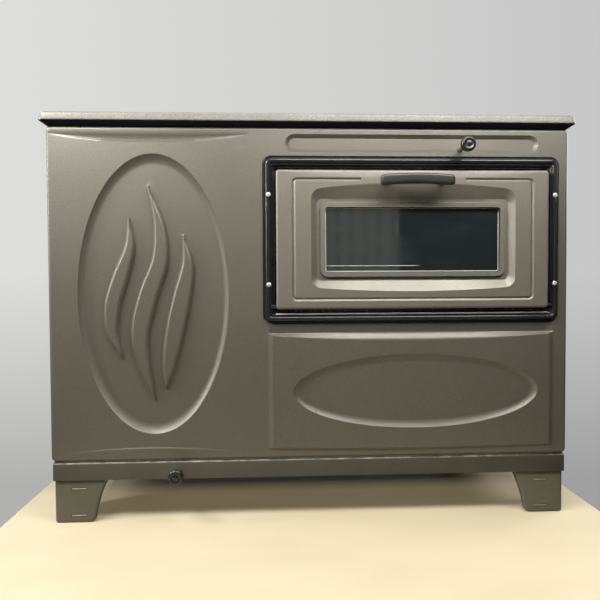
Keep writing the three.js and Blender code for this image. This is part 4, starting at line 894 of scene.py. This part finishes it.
def door_depth(x, z):
    distance = -box_distance(x, z, *door_box, door_corner)
    depth = edge_round(distance, door_edge) + 0.5 * waves(x + 90, z + 40, distance - door_edge, 20)
    arc = bow(x, -crown["reach"], crown["reach"])
    below = door_half[1] - crown["edge"] - z
    depth += crown["depth"] * arc * np.clip(1 - below / (crown["drop"] * np.maximum(arc, 1e-3)), 0, 1)
    depth += groove_depth(x, z)
    mouth = -mouth_distance(x, z)
    slope = np.clip(mouth / np.maximum(mouth + np.maximum(foot_distance(x, z), 0), 1e-6), 0, 1)
    depth += np.where(mouth > 0, recess["depth"] * slope, 0)
    outer = -box_distance(x, z, *grown(window_box, trim["border"]), window_corner + trim["border"])
    return depth - trim["height"] * np.clip(outer / trim["bevel"], 0, 1)


def build_door_face():
    outline = rim(door_box, 0, door_corner, 8, 30)
    window = rim(window_box, 0, window_corner, 6, 24)
    rings = nested(door_box, door_corner, (0.3, 0.8, 1.5, 2.4, 3.2, 4, 4.6), 1.6)
    rings += [mouth_ring(inset) for inset in (-0.8, 0, 1.2)]
    rings += nested(foot_box, recess["foot_corner"], (-0.8, 0))
    rings += nested(window_box, window_corner, [inset - trim["border"] for inset in (
        -0.6, 0, trim["bevel"] / 2, trim["bevel"], trim["bevel"] + 0.8)])
    rings += nested(window_box, window_corner, [-0.7], 0, 6, 24)
    rings += nested(groove_box, groove["corner"], (3.2, 2.25, 1.2, 0, -1.2, -2.25, -3.2))
    # crisp ends of the groove, beside its gap
    z = groove_box[3]
    for x in (-groove["gap"] / 2, groove["gap"] / 2):
        rings.append(np.array([(x - 0.3, z - 3), (x + 0.3, z - 3), (x + 0.3, z + 3), (x - 0.3, z + 3)]))
    x = np.linspace(-door_half[0] + 26, door_half[0] - 26, 60)
    low = door_half[1] - crown["edge"] - crown["drop"] * bow(x, -crown["reach"], crown["reach"]) - 0.5
    rings.append(np.concatenate([pairs(x, door_half[1] - 4.4), pairs(x, low)[::-1]]))

    def clear(x, z):
        keep = -box_distance(x, z, *door_box, door_corner) > 7
        mouth = mouth_distance(x, z)
        return keep & ((mouth > 2) | (mouth < -2) & (foot_distance(x, z) > 2))

    fold = door_high[1] - door_face
    inner = glass_low[1] - 0.4 - door_face
    skin = pressed_sheet("oven_door_face", [outline, window], rings, lattice(*door_box, 9, clear), door_depth,
                         door_face, [fold, inner], "oven_door", door_middle, sharp=24)
    thicken(skin, 1.2)
    dress(skin, door_paint, "paint", "oven_door_skin")


build_door_face()


def build_oven_frame():
    """A black moulding: an outer groove, a broad bead, an inner edge and a flange behind the door's gap."""
    back = frame_high[1]
    reach = back - frame_low[1]
    lip = 3.2
    # (inset from the outer edge, height above the back) round the section
    section = [(0, 0), (0, 0.4), (0.4, 0.5), (1.9, 0.5), (2.4, 0.62), (2.9, 0.78), (3.8, 0.92), (5, 0.99),
               (6.4, 1), (8.2, 0.98), (9.4, 0.9), (10.2, 0.78), (10.7, 0.66), (11.2, 0.62), (11.7, 0.68),
               (12.2, 0.7), (14, 0.56), (14.4, 0.46), (14.5, 0.3), (frame_band + lip, 0.18),
               (frame_band + lip, 0)]
    outline = seen_box(frame_low, frame_high)
    form = Form()
    form.loft([lay(rim(outline, inset, max(frame_corner - inset, 2.2), 10, 24), "y", back - height * reach)
               for inset, height in section], closed=True)
    dress(make("oven_frame_moulding", form, sharp=50), frame_metal, "frame", "oven_frame")


build_oven_frame()


def build_sill_highlight():
    """A bright steel strip in the gap under the oven door; it is a painted highlight, standing for the light
    caught by the frame's upward-facing inner lip.
    """
    low = (door_low[0] - 1, frame_low[1] + 2.2, frame_low[2] + frame_band - 1.6)
    high = (door_high[0] + 1, frame_high[1] - 1.4, low[2] + 2.5)
    flat = round_box(low[1], high[1], low[2], high[2], 1.2, 5, 2)
    form = Form()
    form.loft([lay(flat, "x", x) for x in (low[0], high[0])])
    dress(make("frame_sill_painted_highlight", form, sharp=60), screw_steel, "steel")


build_sill_highlight()


def build_screw(number):
    """A pan-head screw with a cross recess."""
    low, high, centre, head = round_of(f"frame_screw_{number}")
    # (share of the head's radius, way behind its crown)
    turned = [(0, 0.1), (0.3, 0.12), (0.6, 0.3), (0.85, 0.85), (0.97, 1.5), (1, 2.4), (0.5, 2.4)]
    form = Form()
    form.lathe([(share * head, low[1] + way) for share, way in turned]
               + [(head * 0.5, high[1]), (0, high[1])], (centre[0], 0, centre[2]), "y", 32)
    screw = make(f"frame_screw_head_{number}", form)
    x, _, z = centre
    half_slot, half_length = 0.45, 2.3
    for turn in (30, 120):
        cut_box(screw, (x - half_slot, low[1] - 0.6, z - half_length),
                (x + half_slot, low[1] + 1.0, z + half_length), turn)
    screw.data.set_sharp_from_angle(angle=math.radians(40))
    dress(screw, screw_steel, "steel", f"frame_screw_{number}")


for number in range(1, 5):
    build_screw(number)


def build_glass():
    """The pane; its pinstripe is in its material."""
    outline = seen_box(glass_low, glass_high)
    form = Form()
    form.loft([lay(rim(outline, inset, 8 - inset, 6), "y", y)
               for inset, y in ((0, glass_high[1]), (0, glass_low[1] + 0.4), (0.4, glass_low[1]))])
    dress(make("oven_window", form, "oven_door"), glass_look(window_half, door_middle), "glass", "oven_glass")


build_glass()


def build_handle():
    """A moulded grip: a bowed bar with rounded ends on two posts."""
    low, high = box_of("oven_door_handle")
    length = high[0] - low[0]
    middle = (low[0] + high[0]) / 2
    arch, thickness, post_offset, end_length = 3.0, 14.0, 45.75, 7
    half_height = (high[2] - low[2] - arch) / 2

    def level(x):
        """The height of the grip's middle line."""
        return low[2] + half_height + arch * bow(x, low[0], high[0])

    form = Form()
    rings = []
    for share in [0, 0.006, 0.02, 0.045, *np.linspace(0.08, 0.92, 17), 0.955, 0.98, 0.994, 1]:
        x = low[0] + share * length
        end = min(share, 1 - share) * length
        pull = math.sqrt(1 - (1 - min(end / end_length, 1)) ** 2)
        half = half_height * (0.55 + 0.45 * pull)
        depth = thickness * (0.5 + 0.5 * pull)
        front = low[1] + (thickness - depth) / 2
        flat = round_box(front, front + depth, level(x) - half, level(x) + half,
                         min(4.2, depth / 2 - 0.2, half - 0.2), 5, 2)
        rings.append(lay(flat, "x", x))
    form.loft(rings)
    dress(make("door_handle_grip", form, "oven_door"), handle_metal, "grip", "oven_door_handle")
    post = Form()
    inner = low[1] + thickness - 3
    for x in (middle - post_offset, middle + post_offset):
        post.lathe([(0, inner), (4.8, inner), (4.8, high[1] - 3.2), (5.6, high[1] - 2.4),
                    (5.6, high[1] - 2.1), (3.9, high[1] - 2), (3.9, high[1]), (0, high[1])],
                   (x, 0, level(x)), "y", 28)
    dress(make("door_handle_posts", post, "oven_door"), handle_metal, "grip")


build_handle()


def build_knob(name, node, body):
    """A turned pull knob: a neck, a full round body and a ringed face."""
    low, high, centre, radius = round_of(node)
    # (share of the radius, way behind the face)
    turned = [(0, 0.9), (0.3, 0.9), (0.4, 1.5), (0.5, 1.3), (0.62, 0.2), (0.7, 0), (0.84, 0.6), (0.96, 2.6),
              (1, 5.4), (0.98, 8), (0.88, 11), (0.72, 13.8), (0.6, 16), (0.54, 18.4)]
    form = Form()
    form.lathe([(radius * share, low[1] + way) for share, way in turned]
               + [(radius * 0.54, high[1] - 1), (radius * 0.5, high[1]), (0, high[1])],
               (centre[0], 0, centre[2]), "y", 64)
    dress(make(name, form, body, 50), knob_metal, "knob", node)


build_knob("damper_pull_knob", "damper_knob", "damper")
build_knob("air_pull_knob", "air_knob", "air_slide")


# ------------------------------------------------------------------ cooktop
top_low, top_high = box_of("cooktop_plate")
# the step on which the ring and the lids lie, and the gap round them
lap = {"width": 6.0, "height": 3.5, "gap": 0.3}


def build_cooktop():
    """The thick plate: a bevelled front edge with a square lip under it, and two stepped holes."""
    bevel, lip, corner = 10.0, 3.0, 10.0
    outline = [top_low[0], top_high[0], top_low[1], top_high[1]]
    side = [(1.2, top_low[2]), (0.3, top_low[2] + 0.4), (0, top_low[2] + 1.2), (0, top_low[2] + lip - 0.6),
            (0.5, top_low[2] + lip), (bevel * 0.35, top_high[2] - 4.4), (bevel * 0.72, top_high[2] - 1.5),
            (bevel - 0.6, top_high[2] - 0.3), (bevel + 0.9, top_high[2])]
    form = Form()
    loops = form.loft([lay(rim(outline, inset, max(corner - inset, 1.5), 8, 30), "z", z)
                       for inset, z in side], capped=False)
    tops = [loops[-1]]
    bottoms = [loops[0]]
    seat = top_high[2] - lap["height"]
    for node in ("cooktop_ring", "small_lid"):
        _, _, (x, y, _), radius = round_of(node)
        radius += lap["gap"]
        steps = [(radius + 0.5, top_high[2]), (radius, top_high[2] - 0.5), (radius, seat),
                 (radius - lap["width"], seat), (radius - lap["width"], top_low[2])]
        hole = form.loft([lay(ellipse(x, y, r, r, 128), "z", z) for r, z in steps], capped=False)
        tops.append(hole[0])
        bottoms.append(hole[-1])
    for level in (tops, bottoms):
        fill_between(form, level)
    dress(make("cooktop_slab", form, sharp=30), plate_metal, "iron", "cooktop_plate")


def fill_between(form, loops):
    """Triangles across a flat face between an outer loop and its holes."""
    order = [i for loop in loops for i in loop]
    _, faces, sources = triangulate([[form.points[i][:2] for i in loop] for loop in loops])
    form.faces.extend(tuple(order[sources[i][0]] for i in face) for face in faces)


build_cooktop()


def build_round_plate(name, node, body, inner_node=None):
    """A ring or lid of the cooktop, with turned grooves, a lifting slot and a stepped rim."""
    low, high, (x, y, _), radius = round_of(node)
    top, bottom = high[2], low[2]
    step = top - lap["height"]
    inside = radius - lap["width"]
    form = Form()
    if inner_node:
        bore = round_of(inner_node)[3] + lap["gap"]
        hole = bore - lap["width"]
        profile = [(bore + 0.4, top), (radius - 0.4, top), (radius, top - 0.4), (radius, step),
                   (inside, step), (inside, bottom), (hole, bottom), (hole, step), (bore, step),
                   (bore, top - 0.4)]
        form.loft([lay(ellipse(x, y, r, r, 128), "z", z) for r, z in profile], closed=True)
    else:
        profile = [(0, top)]
        for share in (0.45, 0.8):
            r = share * radius
            profile += [(r - 0.9, top), (r - 0.3, top - 0.5), (r + 0.3, top - 0.5), (r + 0.9, top)]
        profile += [(radius - 0.4, top), (radius, top - 0.4), (radius, step), (inside, step),
                    (inside, bottom), (0, bottom)]
        form.lathe(profile, (x, y, 0), "z", 128)
    plate = make(name, form, body, 35)
    if not inner_node:
        edge = x + radius * 0.86
        cut_box(plate, (edge - 26, y - 6, top - 3), (edge, y + 6, top + 1))
    dress(plate, plate_metal, "iron", node)


build_round_plate("fire_ring", "cooktop_ring", "cooktop_ring", "cooktop_lid")
build_round_plate("fire_lid", "cooktop_lid", "cooktop_lid")
build_round_plate("oven_side_lid", "small_lid", "small_lid")


# ------------------------------------------------------------------ base and legs
def build_rail(side):
    """One side of the base frame: an angle bar with a rounded, worn upper edge and a flange turned in."""
    node = f"{side}_rail"
    low, high = box_of(node)
    flange, wall, edge = 22.0, 2.5, 3.0
    # (inward from the outer face, height) round the section
    section = [(edge, high[2]), (edge * 0.5, high[2] - 0.4), (edge * 0.13, high[2] - 1.5),
               (0, high[2] - edge), (0, low[2] + 1), (0.3, low[2] + 0.3), (1, low[2]), (wall, low[2]),
               (wall, high[2] - wall), (flange, high[2] - wall), (flange, high[2])]
    along_x = side in ("front", "rear")
    start, end = (low[0], high[0]) if along_x else (low[1], high[1])
    inward = 1 if side in ("front", "left") else -1
    outer = {"front": low[1], "rear": high[1], "left": low[0], "right": high[0]}[side]
    rings = []
    for way, inset in ((start, 1.6), (start + 0.5, 0.6), (start + 1.6, 0), (end - 1.6, 0), (end - 0.5, 0.6),
                       (end, 1.6)):
        flat = [(outer + inward * min(across + inset, flange), z) for across, z in section]
        rings.append([(way, deep, z) if along_x else (deep, way, z) for deep, z in flat])
    form = Form()
    form.loft(rings)
    dress(make(f"base_{side}_bar", form, sharp=30), rail_paint, "frame", node)


for side in ("front", "rear", "left", "right"):
    build_rail(side)


def leg_arm(share, foot, width, height, toe):
    """How far a leg's face reaches at a share of its height: round at the toe, then curving outwards."""
    if share * height < toe:
        return foot - toe + math.sqrt(max(toe ** 2 - (toe - share * height) ** 2, 0))
    # the curve's control point stands 6 mm out and at 0.6 of the height
    rows = np.linspace(0, 1, 60)
    reach = (1 - rows) ** 2 * foot + 2 * rows * (1 - rows) * (foot + 6) + rows ** 2 * width
    rise = (1 - rows) ** 2 * toe + 2 * rows * (1 - rows) * 0.6 * height + rows ** 2 * height
    return float(np.interp(share * height, rise, reach))


def build_leg(node, toward_x, toward_y):
    """A cast corner leg: two tapering walls, a rounded corner and two slots in each wall."""
    low, high = box_of(node)
    width = high[0] - low[0]
    height = high[2] - low[2]
    foot, toe = 67.0, 8.0
    wall, corner, roll = 11.0, 6.0, 5.0
    corner_x = low[0] if toward_x > 0 else high[0]
    corner_y = low[1] if toward_y > 0 else high[1]

    def place(u, v, z):
        """A point from its ways inward from the leg's two outer faces."""
        return corner_x + toward_x * u, corner_y + toward_y * v, z

    def ring(share, inset):
        arm = leg_arm(share, foot, width, height, toe) - inset
        turns = np.radians(np.linspace(180, 270, 9))
        points = [(inset + corner * (1 + math.cos(t)), inset + corner * (1 + math.sin(t))) for t in turns]
        bend = np.radians(np.linspace(0, 90, 7))
        far = [(arm - roll + roll * math.sin(t), inset + roll - roll * math.cos(t)) for t in bend]
        points += far + [(arm, wall - inset), (wall + 3, wall - inset), (wall + 0.8, wall + 0.8 - inset)]
        points += [(wall - inset, wall + 3), (wall - inset, arm)] + [(v, u) for u, v in reversed(far)]
        return [place(u, v, low[2] + share * height) for u, v in points]

    levels = [(0, 2.2), (0.003, 1.6), (0.01, 1.0), (0.022, 0.5), (0.04, 0.15), (0.065, 0), (0.09, 0)]
    levels += [(share, 0) for share in np.linspace(0.12, 0.97, 18)] + [(0.985, 0), (1, 0.6)]
    form = Form()
    form.loft([ring(share, inset) for share, inset in levels])
    leg = make(f"{node}_casting", form, sharp=40)
    # pale bars in the slots: a painted highlight of the slots' lit lower walls
    bars = Form()
    tilt = 40
    for share in (0.8, 0.17):
        z = low[2] + share * height
        # tilted, so that the slot's lower wall faces up and out; order swaps the two ways
        for order, turn, axis in ((1, toward_y * tilt, "X"), (-1, -toward_x * tilt, "Y")):
            slot = [place(*(27.5, -1.0)[::order], z - 2), place(*(53.5, 2.0)[::order], z + 2)]
            cut_box(leg, *np.sort(slot, axis=0), turn, axis)
            bars.tube([place(*(u, 1.7)[::order], z - 0.3) for u in (28.5, 52.5)], 1.5)
    leg.data.set_sharp_from_angle(angle=math.radians(40))
    dress(make(f"{node}_slot_highlight_bars", bars), slot_highlight_paint, "frame")
    dress(leg, leg_paint, "frame", node)


for end, toward_y in (("front", 1), ("rear", -1)):
    for side, toward_x in (("left", 1), ("right", -1)):
        build_leg(f"leg_{end}_{side}", toward_x, toward_y)


# ------------------------------------------------------------------ carried-over CAD nodes
finishes = [
    (paint, "left_side_panel right_side_panel loading_door"),
    (zinc, "back_panel bottom_plate oven_door_liner air_guide_left air_guide_right ash_wall_front "
           "ash_wall_rear ash_drawer"),
    (collar_metal, "collar_front collar_rear collar_left collar_right"),
    (rope, "oven_door_seal"),
    (frame_metal, "oven_hinge_pin_left oven_hinge_pin_right"),
    (oven_enamel, "oven_box baking_tray"),
    (bright_steel, "oven_rack damper_rod air_slide loading_hinge_pin"),
    (cast_iron, "flue_chamber flue_collar firebox_shelf fire_grate liner_front liner_rear liner_inner "
                "liner_mouth loading_frame loading_baffle"),
    (handle_metal, "loading_latch ash_drawer_pull"),
    (knob_metal, "air_spinner"),
]
# millimetres of rounding on the edges of some of them
edge_widths = {
    0.4: "left_side_panel right_side_panel",
    0.5: "ash_drawer",
    0.6: "air_spinner",
    0.8: "collar_front collar_rear collar_left collar_right loading_door flue_collar loading_latch "
         "ash_drawer_pull",
    1.0: "loading_frame",
    1.5: "liner_front liner_rear liner_inner liner_mouth",
}
for look, nodes in finishes:
    for node in nodes.split():
        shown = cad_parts[node]
        shown.data.materials.clear()
        shown.data.materials.append(look)
for width, nodes in edge_widths.items():
    for node in nodes.split():
        soften(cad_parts[node], width)


# ------------------------------------------------------------------ floor, backdrop, lights and camera
def stage_piece(name, points, faces, material):
    """A surface round the stove that isn't part of it, in metres."""
    mesh = bpy.data.meshes.new(name)
    mesh.from_pydata(points, [], faces)
    mesh.materials.append(material)
    piece = put(name, mesh)
    return piece


def upright(left, right, y, low, high):
    """The corners of a sheet that faces the front."""
    return [(left, y, low), (right, y, low), (right, y, high), (left, y, high)]


def build_stage():
    """A pale table top under the stove, a pale backdrop behind it and a card beside the camera."""
    look = Look("table", linear(188, 178, 152), 0.5)
    look.speckle(look.noise(9, 4, 0.6, (0.4, 1, 1)), 0.4, 0.7, 0.5, linear(177, 164, 135))
    look.bump(look.noise(60, 3), 0.3, 0.2)
    # painted light: a glow that only the camera sees, growing towards the front under the stove's lower edge,
    # stands in for the room's light from the front
    look.glow(linear(226, 206, 158), look.range(look.coordinate("Y"), -0.04, -0.1, 0, 0.17), "Camera")
    left, right, front, rear, thick = -0.503, 0.519, -0.56, 0.36, 0.03
    top = [(left, front, 0), (right, front, 0), (right, rear, 0), (left, rear, 0)]
    under = [(x, y, -thick) for x, y, _ in top]
    sides = [(i, (i + 1) % 4, 4 + (i + 1) % 4, 4 + i)[::-1] for i in range(4)]
    stage_piece("table_top", top + under, [(0, 1, 2, 3), (7, 6, 5, 4)] + sides, look.material)

    look = Look("backdrop", linear(8, 8, 8), 1.0)
    # painted light: the glow is brighter towards the top and darker towards the right, standing in for the
    # room's light falling on a wall
    look.glow(linear(221, 221, 219), look.range(look.coordinate("Z"), -0.951, 0.48, 0.6, 1),
              "Camera", "Glossy", "Transmission")
    look.blend(look.range(look.coordinate("X"), -1.72, 1.94), linear(199, 200, 199), "Emission Color")
    # far enough back to leave room for a look at the stove from behind
    stage_piece("backdrop", upright(-6.4, 6.4, 2.6, -3.4, 6.1), [(0, 1, 2, 3)], look.material)

    look = Look("reflector", linear(8, 8, 8), 1.0)
    bars = look.texture("ShaderNodeTexWave", "Fac", 3.4, bands_direction="X")
    look.glow(linear(250, 247, 232), look.range(bars, 0.1, 0.5, 0.7, 1.0), "Glossy")
    card = stage_piece("reflector", upright(0.2, 0.78, -3, 0.3, 1.05), [(0, 1, 2, 3)], look.material)
    # seen only as a soft reflection in the glass and the black parts
    card.visible_camera = False


def add_area(name, place, target, size, power, colour):
    """An area lamp that faces its target; sizes in metres, power in watts."""
    data = bpy.data.lights.new(name, "AREA")
    data.shape = "RECTANGLE"
    data.size, data.size_y = size
    data.energy = power
    data.color = colour
    lamp = put(name, data)
    lamp.location = place
    lamp.rotation_euler = (Vector(target) - Vector(place)).to_track_quat("-Z", "Y").to_euler()


def build_lights():
    world = bpy.data.worlds.new("studio")
    bpy.context.scene.world = world
    world.use_nodes = True
    background = world.node_tree.nodes["Background"]
    background.inputs["Color"].default_value = (0.9, 0.95, 1, 1)
    background.inputs["Strength"].default_value = 0.05
    add_area("left_overhead", (-0.75, -0.72, 1.1), (-0.35, -0.2, 0.48), (0.7, 0.2), 19, (1, 0.98, 0.96))
    add_area("left_side", (-1.45, -0.52, 0.78), (-0.3, -0.2, 0.47), (0.12, 0.5), 11, (1, 0.98, 0.95))
    add_area("right_overhead", (0.34, -0.68, 1.02), (0.34, -0.2, 0.5), (0.8, 0.2), 10.5, (1, 0.99, 0.97))
    add_area("right_side", (1.6, 0.3, 1.0), (0.45, 0, 0.35), (0.6, 0.6), 12, (1, 0.99, 0.97))
    add_area("ceiling", (0.1, 0.2, 2.2), (0.1, 0.2, 0), (2, 1.5), 12, (1, 0.99, 0.97))


def build_camera():
    """The photograph's viewpoint: left of the panel's middle and a little above the stove's half height."""
    place = ((panel_middle - 64.08) * MM, -1.17521, 0.40054)
    lens, sensor = 33.6, 36.0
    roll, pitch, yaw = (math.radians(a) for a in (-0.295, 1.636, -2.547))
    turn = Matrix.Rotation(roll, 3, "Z") @ Matrix.Rotation(pitch, 3, "X") @ Matrix.Rotation(yaw, 3, "Y")
    right, down, forward = (Vector((row[0], row[2], -row[1])) for row in turn)
    data = bpy.data.cameras.new("camera")
    data.lens = lens
    data.sensor_width = sensor
    data.sensor_fit = "HORIZONTAL"
    data.clip_start = 0.01
    camera = put("camera", data)
    axes = Matrix((right, -down, -forward)).transposed()
    camera.matrix_world = Matrix.Translation(place) @ axes.to_4x4()
    bpy.context.scene.camera = camera


build_stage()
build_lights()
build_camera()
bpy.context.scene.view_settings.view_transform = "Standard"
